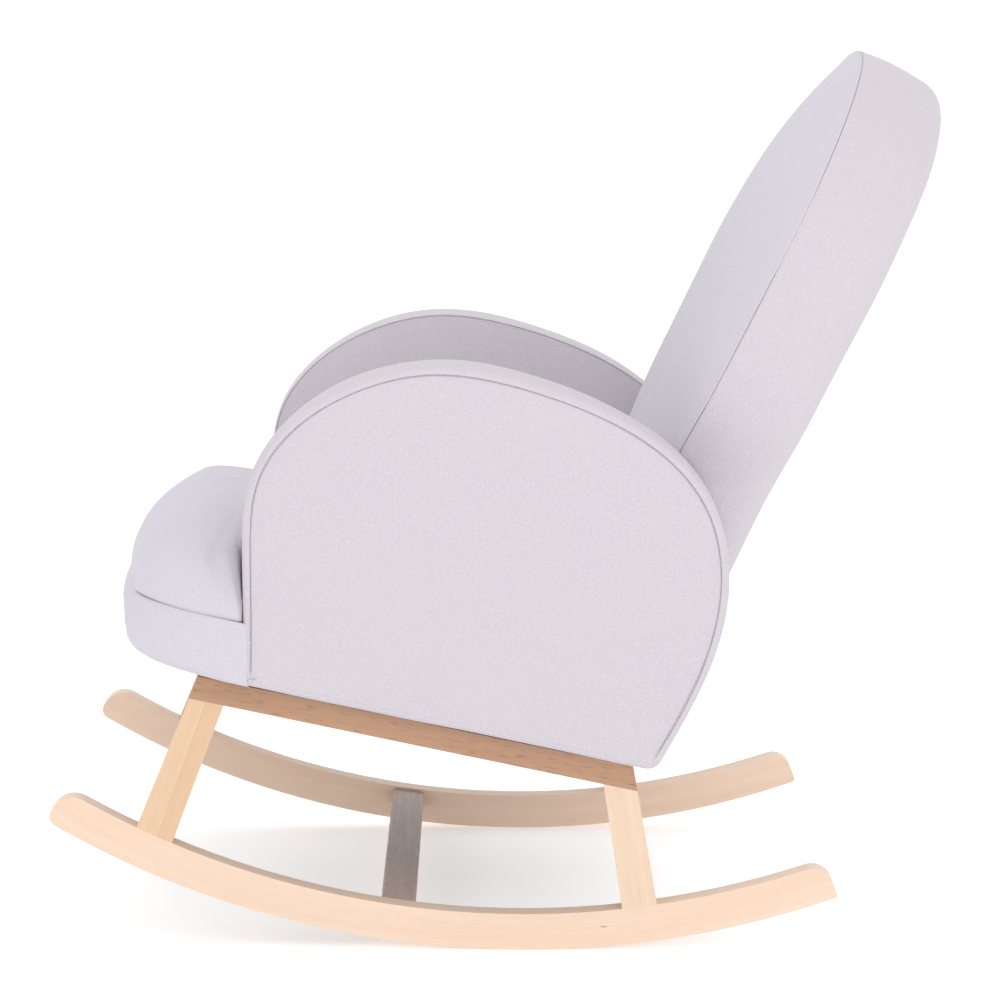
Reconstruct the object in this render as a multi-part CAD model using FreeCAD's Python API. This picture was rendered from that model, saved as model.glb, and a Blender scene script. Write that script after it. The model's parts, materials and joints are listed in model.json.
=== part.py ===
import FreeCAD, Part
import math
import os
from FreeCAD import Vector, Rotation, Placement

# Upholstered rocking armchair on two bent rockers. Millimetres, +X to the sitter's left,
# -Y to the front, +Z up. Shapes are laid out with Z = 0 on the floor, then every node is moved
# along Y so that the origin is under the middle of the whole chair's box.

# ---- wooden base -------------------------------------------------------------------------
BASE_OUTER_X = 284.0        # outer faces of rockers, legs and side rails
WOOD_THICK = 25.0           # their thickness across the chair
ROCKER_RADIUS = 1005.0      # floor-side curve
ROCKER_DEPTH = 40.0         # from the floor-side curve to the top curve
CONTACT_Y = 42.0            # where the rockers touch the floor at rest
ROCKER_FRONT_Y = -468.0
ROCKER_REAR_Y = 374.0
ROCKER_ROUNDS = {"front_top": 25.0, "front_low": 12.0, "rear_top": 22.0, "rear_low": 4.0}
RAIL_DEPTH = 26.0           # side rail, square to its length
RAIL_FRONT = (-311.0, 304.0)   # top front corner of the side rail (y, z)
RAIL_LENGTH = 479.0
SEAT_TILT = 12.0            # degrees that the side rails fall towards the back

# ---- upholstered body --------------------------------------------------------------------
STRIP_THICK = 4.0           # black mounting strip between rail and body
BODY_BASE = STRIP_THICK     # underside of the body above the rail's top plane
BODY_HALF = 308.0           # outer faces of the arms
ARM_INNER_X = 230.0         # faces of the arms that the sitter touches
ARM_FRONT_Y = -264.0
COVER = 3.0                 # cover fabric with its lining
PAD = 12.0                  # foam between cover and frame
SIDE_PAD = 3.0              # the same on the flat sides of the arms
PANEL = 9.0                 # plywood of arms and bow front
SEAM_W = 72.0               # seat seam above the rail's top plane
SEAT_GAP = 0.5              # between separate soft pieces

# ---- backrest ----------------------------------------------------------------------------
BACK_TILT = 26.5            # degrees from vertical
BACK_ORIGIN = (216.0, 555.0)   # (y, z) of a point on the front seam plane
BACK_THICK = 112.0
BACK_HALF = 265.0
BACK_WAIST = 229.5          # half width between the arms
BACK_TOP = 457.0            # top of the arch along the back
BACK_BULGE_S = 228.0        # height where the arch begins
BACK_BOTTOM = -215.0
BACK_ROUND = 34.0           # rounding of the rear edge
BACK_CROWN = 47.0
BACK_CROWN_RADIUS = 900.0
BACK_CROWN_S = 172.0
BACK_SEAM_LIP = 0.001       # keeps the rear panel's face whole
FRAME_FRONT = 68.0          # timber back frame, measured from the seam plane
FRAME_REAR = 103.0

FAR = 1500.0
SIDES = {"left": 1.0, "right": -1.0}
nodes = {}


# ---- helpers -----------------------------------------------------------------------------
def point(axes, a, b):
    """Vector with a and b on the two named axes."""
    values = {"X": 0.0, "Y": 0.0, "Z": 0.0}
    values[axes[0]] = a
    values[axes[1]] = b
    return Vector(values["X"], values["Y"], values["Z"])


def polygon(axes, corners):
    vectors = [point(axes, a, b) for a, b in corners]
    return Part.Face(Part.makePolygon(vectors + vectors[:1]))


def curve_edge(axes, spots):
    curve = Part.BSplineCurve()
    curve.interpolate([point(axes, a, b) for a, b in spots])
    return curve.toShape()


def inset_spots(spots, distance):
    """Points along the smooth curve through the spots, moved to its right by a distance."""
    if distance == 0:
        return spots
    curve = Part.BSplineCurve()
    curve.interpolate([Vector(a, b, 0) for a, b in spots])
    moved = []
    count = 2 * len(spots)
    for k in range(count + 1):
        share = k / count
        at = curve.FirstParameter + share * (curve.LastParameter - curve.FirstParameter)
        place = curve.value(at)
        along = curve.tangent(at)[0]
        moved.append((place.x + distance * along.y, place.y - distance * along.x))
    return moved


def line_edge(axes, start, end):
    return Part.makeLine(point(axes, *start), point(axes, *end))


def inset_face(face, distance):
    """The face pulled in on all sides, as a single face."""
    if distance == 0:
        return face
    return Part.Face(face.makeOffset2D(-distance).Wires[0])


def prism_x(face, x0, x1):
    solid = face.extrude(Vector(x1 - x0, 0, 0))
    solid.translate(Vector(x0, 0, 0))
    return solid


def box(x0, x1, y0, y1, z0, z1):
    return Part.makeBox(x1 - x0, y1 - y0, z1 - z0, Vector(x0, y0, z0))


def mirrored(shape, side):
    """Shape modelled on the left, or its mirror image on the right."""
    if side > 0:
        return shape
    return shape.mirror(Vector(0, 0, 0), Vector(1, 0, 0))


def rail_place(shape):
    """From the rail frame (y along the rail, z square to it) to the layout."""
    placed = shape.copy()
    turn = Placement(Vector(0, *RAIL_FRONT), Rotation(Vector(1, 0, 0), -SEAT_TILT))
    placed.Placement = turn.multiply(placed.Placement)
    return placed


def back_place(shape):
    """From the back frame (z up the seam plane, y through the back) to the layout."""
    placed = shape.copy()
    turn = Placement(Vector(0, *BACK_ORIGIN), Rotation(Vector(1, 0, 0), -BACK_TILT))
    placed.Placement = turn.multiply(placed.Placement)
    return placed


def rail_slab(w0, w1):
    """Everything between two heights above the rail's top plane."""
    return rail_place(box(-FAR, FAR, -FAR, FAR, w0, w1))


def rod(radius, start, end):
    reach = end.sub(start)
    return Part.makeCylinder(radius, reach.Length, start, reach)


def group(shapes):
    return Part.makeCompound(shapes)


def add(name, shape):
    nodes[name] = shape


# ---- wooden base -------------------------------------------------------------------------
def rocker_bar():
    """One rocker on the left side, ends cut square to the bend and rounded."""
    centre = Vector(0, CONTACT_Y, ROCKER_RADIUS)
    front = math.asin((CONTACT_Y - ROCKER_FRONT_Y) / (ROCKER_RADIUS - ROCKER_DEPTH / 2))
    rear = math.asin((ROCKER_REAR_Y - CONTACT_Y) / (ROCKER_RADIUS - ROCKER_DEPTH / 2))

    def spot(radius, angle):
        return centre.add(Vector(0, radius * math.sin(angle), -radius * math.cos(angle)))

    low, high = ROCKER_RADIUS, ROCKER_RADIUS - ROCKER_DEPTH
    middle = (rear - front) / 2
    edges = [
        Part.Arc(spot(low, -front), spot(low, middle), spot(low, rear)).toShape(),
        Part.makeLine(spot(low, rear), spot(high, rear)),
        Part.Arc(spot(high, rear), spot(high, middle), spot(high, -front)).toShape(),
        Part.makeLine(spot(high, -front), spot(low, -front)),
    ]
    bar = prism_x(Part.Face(Part.Wire(edges)), BASE_OUTER_X - WOOD_THICK, BASE_OUTER_X)
    ends = [
        (spot(high, -front), ROCKER_ROUNDS["front_top"]),
        (spot(low, -front), ROCKER_ROUNDS["front_low"]),
        (spot(high, rear), ROCKER_ROUNDS["rear_top"]),
        (spot(low, rear), ROCKER_ROUNDS["rear_low"]),
    ]
    for corner, radius in ends:
        bar = bar.makeFillet(radius, [edge_at(bar, corner)])
    return bar


def edge_at(solid, corner):
    """The edge along X that passes nearest to a point."""
    across = [e for e in solid.Edges
              if e.Curve.TypeId == "Part::GeomLine" and abs(e.tangentAt(e.FirstParameter).x) > 0.99]
    return min(across, key=lambda e: e.CenterOfMass.sub(
        Vector(e.CenterOfMass.x, corner.y, corner.z)).Length)


def rail_point(u, w):
    """(y, z) of a point u along the rail and w above its top plane."""
    tilt = math.radians(SEAT_TILT)
    return (RAIL_FRONT[0] + u * math.cos(tilt) + w * math.sin(tilt),
            RAIL_FRONT[1] - u * math.sin(tilt) + w * math.cos(tilt))


# leg outlines: front and rear edge at the rail's top plane and, carried on, at the floor
LEG_EDGES = {
    "front": {"top": (0.0, 37.0), "floor": (-437.0, -387.0)},
    "rear": {"top": (442.0, RAIL_LENGTH), "floor": (153.0, 193.0)},
}


def leg_edge_y(edge_u, floor_y, w):
    """(y, z) where a leg edge crosses the height w above the rail plane."""
    top = rail_point(edge_u, 0.0)
    low = rail_point(0.0, w)
    fall = -math.tan(math.radians(SEAT_TILT))
    # top + t * (floor - top) meets the plane through low
    run = floor_y - top[0]
    drop = -top[1]
    t = (low[1] - top[1] - fall * (low[0] - top[0])) / (drop - fall * run)
    return (top[0] + t * run, top[1] + t * drop)


def leg_strip(which):
    """Face between a leg's two edges, from the rail's top plane down to the floor."""
    edges = LEG_EDGES[which]
    corners = [rail_point(edges["top"][0], 0), rail_point(edges["top"][1], 0),
               (edges["floor"][1], 0.0), (edges["floor"][0], 0.0)]
    return polygon("YZ", corners)


def rocker_top_cylinder():
    centre = Vector(-FAR, CONTACT_Y, ROCKER_RADIUS)
    return Part.makeCylinder(ROCKER_RADIUS - ROCKER_DEPTH, 2 * FAR, centre, Vector(1, 0, 0))


def leg_bar(which):
    inner_x = BASE_OUTER_X - WOOD_THICK
    bar = prism_x(leg_strip(which), inner_x, BASE_OUTER_X)
    bar = bar.common(rocker_top_cylinder())
    return bar.cut(rail_slab(-RAIL_DEPTH, FAR))


def side_rail_bar():
    """Bar under the arm, its ends cut in line with the legs' outer edges."""
    front, rear = LEG_EDGES["front"], LEG_EDGES["rear"]
    corners = [
        rail_point(0, 0),
        rail_point(RAIL_LENGTH, 0),
        leg_edge_y(RAIL_LENGTH, rear["floor"][1], -RAIL_DEPTH),
        leg_edge_y(0, front["floor"][0], -RAIL_DEPTH),
    ]
    return prism_x(polygon("YZ", corners), BASE_OUTER_X - WOOD_THICK, BASE_OUTER_X)


BOLT_U = (92.0, 245.0, 415.0)      # mounting bolts along the side rail
BOLT_X = BASE_OUTER_X - WOOD_THICK / 2
BOLT_R = 4.0                       # M8
HEAD_R = 6.5
HEAD_HIGH = 8.0
HEAD_DEEP = 3.0                    # head below the rail's underside
SOCKET_R = 3.4
SOCKET_DEEP = 4.0
ARM_RAIL_TOP = 45.0                # top of the arm's base rail above the side rail
BOLT_REACH = ARM_RAIL_TOP + 1.0
TEE_R = 6.5
TEE_FLANGE_R = 11.0
TEE_LONG = 12.0
TEE_FLANGE = 2.0
CLEAR = 0.3


def vertical_rod(radius, u, w0, w1, x=BOLT_X):
    return rail_place(Part.makeCylinder(radius, w1 - w0, Vector(x, u, w0)))


def mounting_bolt(u, grow=0.0):
    """Socket-head bolt from under the rail into the arm's base rail."""
    head_low = -RAIL_DEPTH + HEAD_DEEP
    shank = vertical_rod(BOLT_R + grow, u, head_low + 1, BOLT_REACH + grow)
    head = vertical_rod(HEAD_R + grow, u, head_low if grow == 0 else -RAIL_DEPTH - 1,
                        head_low + HEAD_HIGH + grow)
    bolt = shank.fuse(head)
    if grow == 0:
        corners = []
        for k in range(7):
            turn = math.radians(60 * k)
            corners.append(Vector(BOLT_X + SOCKET_R * math.cos(turn),
                                  u + SOCKET_R * math.sin(turn), head_low))
        hexagon = Part.Face(Part.makePolygon(corners))
        socket = rail_place(hexagon.extrude(Vector(0, 0, SOCKET_DEEP)))
        bolt = bolt.cut(socket)
    return bolt.removeSplitter()


def tee_nut(u):
    """Flanged barrel nut let into the top of the arm's base rail."""
    barrel = vertical_rod(TEE_R, u, ARM_RAIL_TOP - TEE_LONG, ARM_RAIL_TOP)
    flange = vertical_rod(TEE_FLANGE_R, u, ARM_RAIL_TOP, ARM_RAIL_TOP + TEE_FLANGE)
    return barrel.fuse(flange).cut(vertical_rod(BOLT_R + CLEAR, u, 0, FAR)).removeSplitter()


def tee_hole(u):
    """Room for a barrel nut and, above the base rail, for its flange."""
    barrel = vertical_rod(TEE_R + CLEAR, u, ARM_RAIL_TOP - TEE_LONG - CLEAR, ARM_RAIL_TOP)
    return barrel.fuse(vertical_rod(TEE_FLANGE_R + CLEAR, u, ARM_RAIL_TOP, ARM_RAIL_TOP + TEE_FLANGE + CLEAR))


DOWEL_R = 4.0
DOWEL_HALF = 14.0
DOWEL_SPREAD = 8.0


def leg_dowels():
    """Two dowels through each leg joint: leg to rocker and leg to rail."""
    centre = Vector(0, CONTACT_Y, ROCKER_RADIUS)
    pins = []
    for which in LEG_EDGES:
        edges = LEG_EDGES[which]
        top = rail_point(sum(edges["top"]) / 2, 0)
        floor = (sum(edges["floor"]) / 2, 0.0)
        run = Vector(0, floor[0] - top[0], floor[1] - top[1])
        run.normalize()
        rail_joint = leg_edge_y(sum(edges["top"]) / 2, floor[0], -RAIL_DEPTH)
        rail_joint = Vector(BOLT_X, *rail_joint)
        # step down the leg to the rocker's top curve
        spot = Vector(rail_joint)
        while Vector(0, spot.y, spot.z).sub(centre).Length < ROCKER_RADIUS - ROCKER_DEPTH:
            spot = spot.add(run)
        across = Vector(0, -run.z, run.y)
        for joint in (rail_joint, spot):
            for step in (-DOWEL_SPREAD, DOWEL_SPREAD):
                middle = joint.add(Vector(across.x, across.y * step, across.z * step))
                half = Vector(0, run.y * DOWEL_HALF, run.z * DOWEL_HALF)
                pins.append(rod(DOWEL_R, middle.sub(half), middle.add(half)))
    return pins


STRETCHER_Y = (-116.0, -78.0)
STRETCHER_THICK = 20.0
STRETCHER_DROP = 3.0          # its top below the rockers' top curve
STRETCHER_ROUND = 2.0
PIN_SPREAD = 9.0              # stretcher dowels, half their distance
PIN_IN = 18.0                 # how far they go into the stretcher
PIN_OUT = 15.0                # and into the rocker


def stretcher_top_z():
    middle = sum(STRETCHER_Y) / 2 - CONTACT_Y
    high = ROCKER_RADIUS - ROCKER_DEPTH
    return ROCKER_RADIUS - math.sqrt(high * high - middle * middle) - STRETCHER_DROP


def stretcher_turn(shape):
    """Lays a flat piece along the rocker's slope at the stretcher."""
    middle = sum(STRETCHER_Y) / 2
    slope = math.degrees(math.asin((middle - CONTACT_Y) / (ROCKER_RADIUS - ROCKER_DEPTH)))
    turned = shape.copy()
    turned.rotate(Vector(0, middle, stretcher_top_z()), Vector(1, 0, 0), slope)
    return turned


def stretcher_bar():
    reach = BASE_OUTER_X - WOOD_THICK
    top = stretcher_top_z()
    bar = box(-reach, reach, *STRETCHER_Y, top - STRETCHER_THICK, top)
    long_edges = [e for e in bar.Edges if abs(e.tangentAt(e.FirstParameter).x) > 0.99]
    return stretcher_turn(bar.makeFillet(STRETCHER_ROUND, long_edges))


def stretcher_dowels():
    pins = []
    top = stretcher_top_z()
    for side in SIDES.values():
        face = side * (BASE_OUTER_X - WOOD_THICK)
        for step in (-PIN_SPREAD, PIN_SPREAD):
            middle = sum(STRETCHER_Y) / 2 + step
            height = top - STRETCHER_THICK / 2
            start = Vector(face - PIN_IN * side, middle, height)
            end = Vector(face + PIN_OUT * side, middle, height)
            pins.append(stretcher_turn(rod(DOWEL_R, start, end)))
    return pins


STRIP_U = (6.0, 491.0)        # ends of the strip along the rail
STRIP_IN = 2.0                # set back from the rail's inner face
STRIP_OUT = 1.0               # and from its outer face
STRIP_ROUND = 5.0


def mounting_strip():
    """Black strip that lies on the side rail and runs on a little behind it."""
    bar = box(BASE_OUTER_X - WOOD_THICK + STRIP_IN, BASE_OUTER_X - STRIP_OUT, *STRIP_U,
              0, STRIP_THICK)
    upright = [e for e in bar.Edges if abs(e.tangentAt(e.FirstParameter).z) > 0.99]
    return rail_place(bar.makeFillet(STRIP_ROUND, upright))


def build_base():
    bolts = [mounting_bolt(u) for u in BOLT_U]
    holes = group([mounting_bolt(u, CLEAR) for u in BOLT_U])
    pins = leg_dowels()
    pin_holes = group(pins)
    cross_pins = stretcher_dowels()
    for name, side in SIDES.items():
        rocker = rocker_bar().cut(pin_holes)
        add("rocker_" + name, mirrored(rocker, side).cut(group(cross_pins)))
        for which in LEG_EDGES:
            add(which + "_leg_" + name, mirrored(leg_bar(which).cut(pin_holes), side))
        add("side_rail_" + name, mirrored(side_rail_bar().cut(pin_holes).cut(holes), side))
        add("mounting_strip_" + name, mirrored(mounting_strip().cut(holes), side))
    add("stretcher", stretcher_bar().cut(group(cross_pins)))
    add("leg_dowels", group([mirrored(pin, side) for side in SIDES.values() for pin in pins]))
    add("stretcher_dowels", group(cross_pins))
    add("mounting_bolts", group([mirrored(b, side) for side in SIDES.values() for b in bolts]))
    nuts = [tee_nut(u) for u in BOLT_U]
    add("tee_nuts", group([mirrored(n, side) for side in SIDES.values() for n in nuts]))


# ---- arms --------------------------------------------------------------------------------
# crown line of the arm from the bottom of its front edge, over the top, to its rear edge
ARM_CURVE = [(-263, 370), (-261, 440), (-250, 525), (-213, 578), (-146, 621), (-61, 641),
             (40, 626), (130, 592), (200, 546), (242, 490), (258, 405), (235, 306)]
ARM_FOOT_U = (49.0, 502.0)  # ends of the arm's underside along the rail
ARM_CORNER = 14.0           # rounding at the foot of the rear edge
ARM_EDGE = 9.0              # rounding of the cover along the arm's outline
ARM_RAIL_U = (68.0, 476.0)  # ends of the base rail inside the arm
ARM_POST_FRONT_Y = -205.0   # rear face of the front upright
ARM_POST_REAR_Y = 190.0     # front face of the rear upright


def arm_solid(inset, x0, x1):
    """Slice of the arm between two planes, its outline pulled in by an inset."""
    start = rail_point(ARM_FOOT_U[0], BODY_BASE)
    end = rail_point(ARM_FOOT_U[1], BODY_BASE)
    spots = inset_spots([start] + ARM_CURVE + [end], inset)
    edges = [curve_edge("YZ", spots), line_edge("YZ", spots[-1], spots[0])]
    solid = prism_x(Part.Face(Part.Wire(edges)), x0, x1)
    if inset == 0:
        return solid
    return solid.common(rail_slab(BODY_BASE + inset, FAR))


def soft_arm():
    """Outside of the cover: foot of the rear edge and both outlines rounded."""
    solid = arm_solid(0.0, ARM_INNER_X, BODY_HALF)
    foot = edge_at(solid, Vector(0, *rail_point(ARM_FOOT_U[1], BODY_BASE)))
    solid = solid.makeFillet(ARM_CORNER, [foot])
    return solid.makeFillet(ARM_EDGE, [e for e in solid.Edges if e.BoundBox.XLength < 1e-6])


def arm_pieces():
    """Cover, foam wrap, two plywood profiles, base rail and two uprights of the left arm."""
    wood_inset = COVER + PAD
    inner_x = ARM_INNER_X + COVER + SIDE_PAD
    outer_x = BODY_HALF - COVER - SIDE_PAD
    core = arm_solid(wood_inset, inner_x, outer_x)
    filling = arm_solid(COVER, ARM_INNER_X + COVER, BODY_HALF - COVER)
    base_rail = rail_place(box(inner_x + PANEL, outer_x - PANEL, *ARM_RAIL_U, BODY_BASE, ARM_RAIL_TOP))
    holes = group([mounting_bolt(u, CLEAR) for u in BOLT_U] + [tee_hole(u) for u in BOLT_U])
    middle = arm_solid(wood_inset, inner_x + PANEL, outer_x - PANEL)
    above = rail_slab(ARM_RAIL_TOP, FAR)
    post_front = middle.common(box(0, FAR, -FAR, ARM_POST_FRONT_Y, 0, FAR)).common(above)
    post_rear = middle.common(box(0, FAR, ARM_POST_REAR_Y, FAR, 0, FAR)).common(above)
    posts = [post.cut(holes) for post in (post_front, post_rear)]
    return {
        "arm_cover": soft_arm().cut(filling).cut(base_rail),
        "arm_foam": filling.cut(core).cut(base_rail),
        "arm_inner_panel": arm_solid(wood_inset, inner_x, inner_x + PANEL),
        "arm_outer_panel": arm_solid(wood_inset, outer_x - PANEL, outer_x),
        "arm_base_rail": base_rail.cut(holes),
        "arm_uprights": group(posts),
    }


# ---- seat --------------------------------------------------------------------------------
FRONT_Y = -406.0            # middle of the bow front
FRONT_SIDE_Y = -386.0       # where the bow meets its corners
FRONT_CORNER = 85.0
SEAT_FRONT_Y = -400.0
SEAT_TOP = (-292.0, 485.0)  # highest point of the seat's front roll (y, z)
SEAT_CROWN = 34.0           # middle of the seat above its sides
SEAT_END_T = 14.0           # rear end of the cushion, behind the back's seam plane
SEAT_REAR_Y = 260.0         # behind the place where the back cuts the cushion off
SEAT_LOW = 100.0            # below the seam plane that cuts the cushion off
SEAT_HIGH_W = 186.0         # crown of the cushion above the rail's top plane
SEAT_SIDE_IN = 4.0          # sides of the cushion inside the arms' outer faces
BAND_SIDE_IN = 1.0          # sides of the front band, likewise
BAND_TO_CUSHION = 2.0       # seam set back from the band's face


def front_plan():
    """Plan of the bow front, ahead of the arms."""
    half = BODY_HALF - BAND_SIDE_IN
    rear_y = ARM_FRONT_Y - SEAT_GAP
    corner_x = half - FRONT_CORNER
    bow_edge = Part.Arc(Vector(-corner_x, FRONT_SIDE_Y, 0), Vector(0, FRONT_Y, 0),
                        Vector(corner_x, FRONT_SIDE_Y, 0)).toShape()
    reach = FRONT_CORNER * math.sqrt(0.5)
    mid_y = FRONT_SIDE_Y + FRONT_CORNER - reach
    end_y = FRONT_SIDE_Y + FRONT_CORNER
    edges = [bow_edge]
    for sign in (1, -1):
        start = Vector(sign * corner_x, FRONT_SIDE_Y, 0)
        middle = Vector(sign * (corner_x + reach), mid_y, 0)
        end = Vector(sign * half, end_y, 0)
        edges.append(Part.Arc(start, middle, end).toShape())
        edges.append(Part.makeLine(end, Vector(sign * half, rear_y, 0)))
    edges.append(Part.makeLine(Vector(-half, rear_y, 0), Vector(half, rear_y, 0)))
    return Part.Face(Part.Wire(Part.__sortEdges__(edges)))


def front_prism(inset):
    face = inset_face(front_plan(), inset)
    return face.extrude(Vector(0, 0, FAR))


def seat_profile(inset):
    """Side view of the cushion: upright front, large roll, top falling to the back."""
    slope = math.tan(math.radians(SEAT_TILT))
    top_y, top_z = SEAT_TOP
    rear_y = SEAT_REAR_Y
    spots = [(SEAT_FRONT_Y, 352), (SEAT_FRONT_Y + 2, 392), (SEAT_FRONT_Y + 17, 430),
             (SEAT_FRONT_Y + 50, 467), (top_y, top_z), (top_y + 90, top_z - 6),
             (top_y + 260, top_z - 40), (rear_y, top_z - slope * (rear_y - top_y) + 16)]
    spots = inset_spots(spots, inset)
    rear_y = spots[-1][0]
    front_y = spots[0][0]
    edges = [
        curve_edge("YZ", spots),
        line_edge("YZ", spots[-1], (rear_y, SEAT_LOW)),
        line_edge("YZ", (rear_y, SEAT_LOW), (front_y, SEAT_LOW)),
        line_edge("YZ", (front_y, SEAT_LOW), spots[0]),
    ]
    return Part.Face(Part.Wire(edges))


def seat_section(inset):
    """Front view of the cushion in the rail frame: crowned, rolling down at the far sides."""
    half = BODY_HALF - SEAT_SIDE_IN
    top = SEAT_HIGH_W
    side = ARM_INNER_X
    spots = [(-half, SEAM_W + 6), (-half + 14, SEAM_W + 48), (-side, top - SEAT_CROWN),
             (-side / 2, top - SEAT_CROWN * 0.3), (0, top), (side / 2, top - SEAT_CROWN * 0.3),
             (side, top - SEAT_CROWN), (half - 14, SEAM_W + 48), (half, SEAM_W + 6)]
    spots = inset_spots(spots, inset)
    half = spots[-1][0]
    edges = [
        curve_edge("XZ", spots),
        line_edge("XZ", spots[-1], (half, 0)),
        line_edge("XZ", (half, 0), (-half, 0)),
        line_edge("XZ", (-half, 0), spots[0]),
    ]
    return Part.Face(Part.Wire(edges))


def seat_solid(inset):
    """Bow-fronted T cushion: full width ahead of the arms, between them behind."""
    profile = prism_x(seat_profile(inset), -BODY_HALF, BODY_HALF)
    section = seat_section(inset)
    section.translate(Vector(0, -FAR / 2, 0))
    section = rail_place(section.extrude(Vector(0, FAR, 0)))
    side = ARM_INNER_X - SEAT_GAP - inset
    between_arms = box(-side, side, ARM_FRONT_Y - 40, SEAT_REAR_Y, 0, FAR)
    plan = front_prism(inset + BAND_TO_CUSHION).fuse(between_arms)
    slab = rail_slab(SEAM_W, FAR / 2)
    cushion = profile.common(section).common(plan).common(slab)
    behind = back_place(box(-FAR, FAR, SEAT_END_T - inset, FAR, -FAR, 0))
    return cushion.cut(back_solid(-SEAT_GAP - inset)).cut(behind)


def build_seat():
    outer = seat_solid(0.0)
    foam = seat_solid(COVER)
    add("seat_cover", outer.cut(foam))
    add("seat_foam", foam)
    band = rail_slab(BODY_BASE, SEAM_W - SEAT_GAP)
    rings = [front_prism(inset).common(band) for inset in
             (0.0, COVER, COVER + PAD, COVER + PAD + PANEL)]
    deck = rings[3].common(rail_slab(SEAM_W - SEAT_GAP - PANEL, FAR))
    add("front_band_cover", rings[0].cut(rings[1]))
    add("front_band_foam", rings[1].cut(rings[2]))
    add("front_bow_panel", rings[2].cut(rings[3]))
    add("front_deck", deck)


# ---- seat frame, in the rail frame -------------------------------------------------------
FRAME_LOW = 9.0
FRAME_HIGH = 60.0
FRAME_WIDE = 25.0
FRAME_HALF = ARM_INNER_X - 2.0
FRAME_FRONT_U = 62.0
FRAME_REAR_U = 404.0
FRAME_END_U = 492.0
BLOCK_LEG = 45.0            # corner blocks
BLOCK_HIGH = 30.0
LINING_HALF = 248.0         # black lining under the body, between the mounting strips
LINING_INSET = 10.0
LINING_U = (30.0, 490.0)
LINING_LOW = 2.6
LINING_HIGH = 3.6
SPRING_COUNT = 5
SPRING_WIRE_R = 1.9
SPRING_TURNS = 7
SPRING_WIDE = 48.0
SPRING_HOOK = (6.0, 16.0)   # ends of the springs past the front edges of the two rails
WIRE_GAP = 0.2
PAD_LOW = 64.6              # underside of the pad over the springs


def corner_block(u, face_u, side):
    """Glued block across the inside corner of two rails."""
    leg = BLOCK_LEG * face_u
    inner = FRAME_HALF - FRAME_WIDE
    corners = [Vector(side * inner, u, FRAME_LOW), Vector(side * (inner - BLOCK_LEG), u, FRAME_LOW),
               Vector(side * inner, u + leg, FRAME_LOW)]
    block = Part.Face(Part.makePolygon(corners + corners[:1]))
    return rail_place(block.extrude(Vector(0, 0, BLOCK_HIGH)))


def sinuous_spring(x, u0, u1, w):
    """Flat zigzag spring of round wire, hooked on the front and rear rails."""
    pitch = (u1 - u0) / (2 * SPRING_TURNS)
    radius = pitch / 2
    reach = SPRING_WIDE / 2 - radius
    edges = []
    for k in range(2 * SPRING_TURNS):
        sign = 1 if k % 2 == 0 else -1
        u = u0 + k * pitch
        start = Vector(x - sign * reach, u, w)
        turn = Vector(x + sign * reach, u, w)
        tip = Vector(x + sign * (reach + radius), u + radius, w)
        end = Vector(x + sign * reach, u + pitch, w)
        edges.append(Part.makeLine(start, turn))
        edges.append(Part.Arc(turn, tip, end).toShape())
    last = edges[-1].Vertexes[-1].Point
    edges.append(Part.makeLine(last, Vector(x, last.y, w)))
    path = Part.Wire(edges)
    first = path.Edges[0]
    start = first.valueAt(first.FirstParameter)
    ring = Part.Wire(Part.makeCircle(SPRING_WIRE_R, start, Vector(1, 0, 0)))
    return rail_place(path.makePipeShell([ring], True, False))


def build_seat_frame():
    inner = FRAME_HALF - FRAME_WIDE
    front = box(-inner, inner, FRAME_FRONT_U, FRAME_FRONT_U + FRAME_WIDE, FRAME_LOW, FRAME_HIGH)
    rear = box(-inner, inner, FRAME_REAR_U, FRAME_REAR_U + FRAME_WIDE, FRAME_LOW, FRAME_HIGH)
    add("seat_front_rail", rail_place(front))
    add("seat_rear_rail", rail_place(rear))
    for name, side in SIDES.items():
        rail = box(inner, FRAME_HALF, FRAME_FRONT_U, FRAME_END_U, FRAME_LOW, FRAME_HIGH)
        add("seat_side_rail_" + name, mirrored(rail_place(rail), side).cut(group(back_bolts(CLEAR))))
    blocks = []
    for side in SIDES.values():
        blocks.append(corner_block(FRAME_FRONT_U + FRAME_WIDE, 1, side))
        blocks.append(corner_block(FRAME_REAR_U, -1, side))
    add("corner_blocks", group(blocks))
    first = -inner + BLOCK_LEG
    pitch = -2 * first / (SPRING_COUNT - 1)
    u0 = FRAME_FRONT_U + SPRING_HOOK[0]
    u1 = FRAME_REAR_U + SPRING_HOOK[1]
    w = FRAME_HIGH + SPRING_WIRE_R + WIRE_GAP
    springs = [sinuous_spring(first + k * pitch, u0, u1, w) for k in range(SPRING_COUNT)]
    add("seat_springs", group(springs))
    pad = box(-FRAME_HALF, FRAME_HALF, FRAME_FRONT_U, FRAME_REAR_U + FRAME_WIDE,
              PAD_LOW, SEAM_W - SEAT_GAP)
    add("spring_pad", rail_place(pad))
    sheet = rail_place(box(-LINING_HALF, LINING_HALF, *LINING_U, LINING_LOW, LINING_HIGH))
    front_sheet = front_prism(LINING_INSET).common(rail_slab(LINING_LOW, LINING_HIGH))
    inside = box(-LINING_HALF, LINING_HALF, -FAR, FAR, 0, FAR)
    add("dust_cover", sheet.fuse(front_sheet.common(inside)).removeSplitter())


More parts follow.
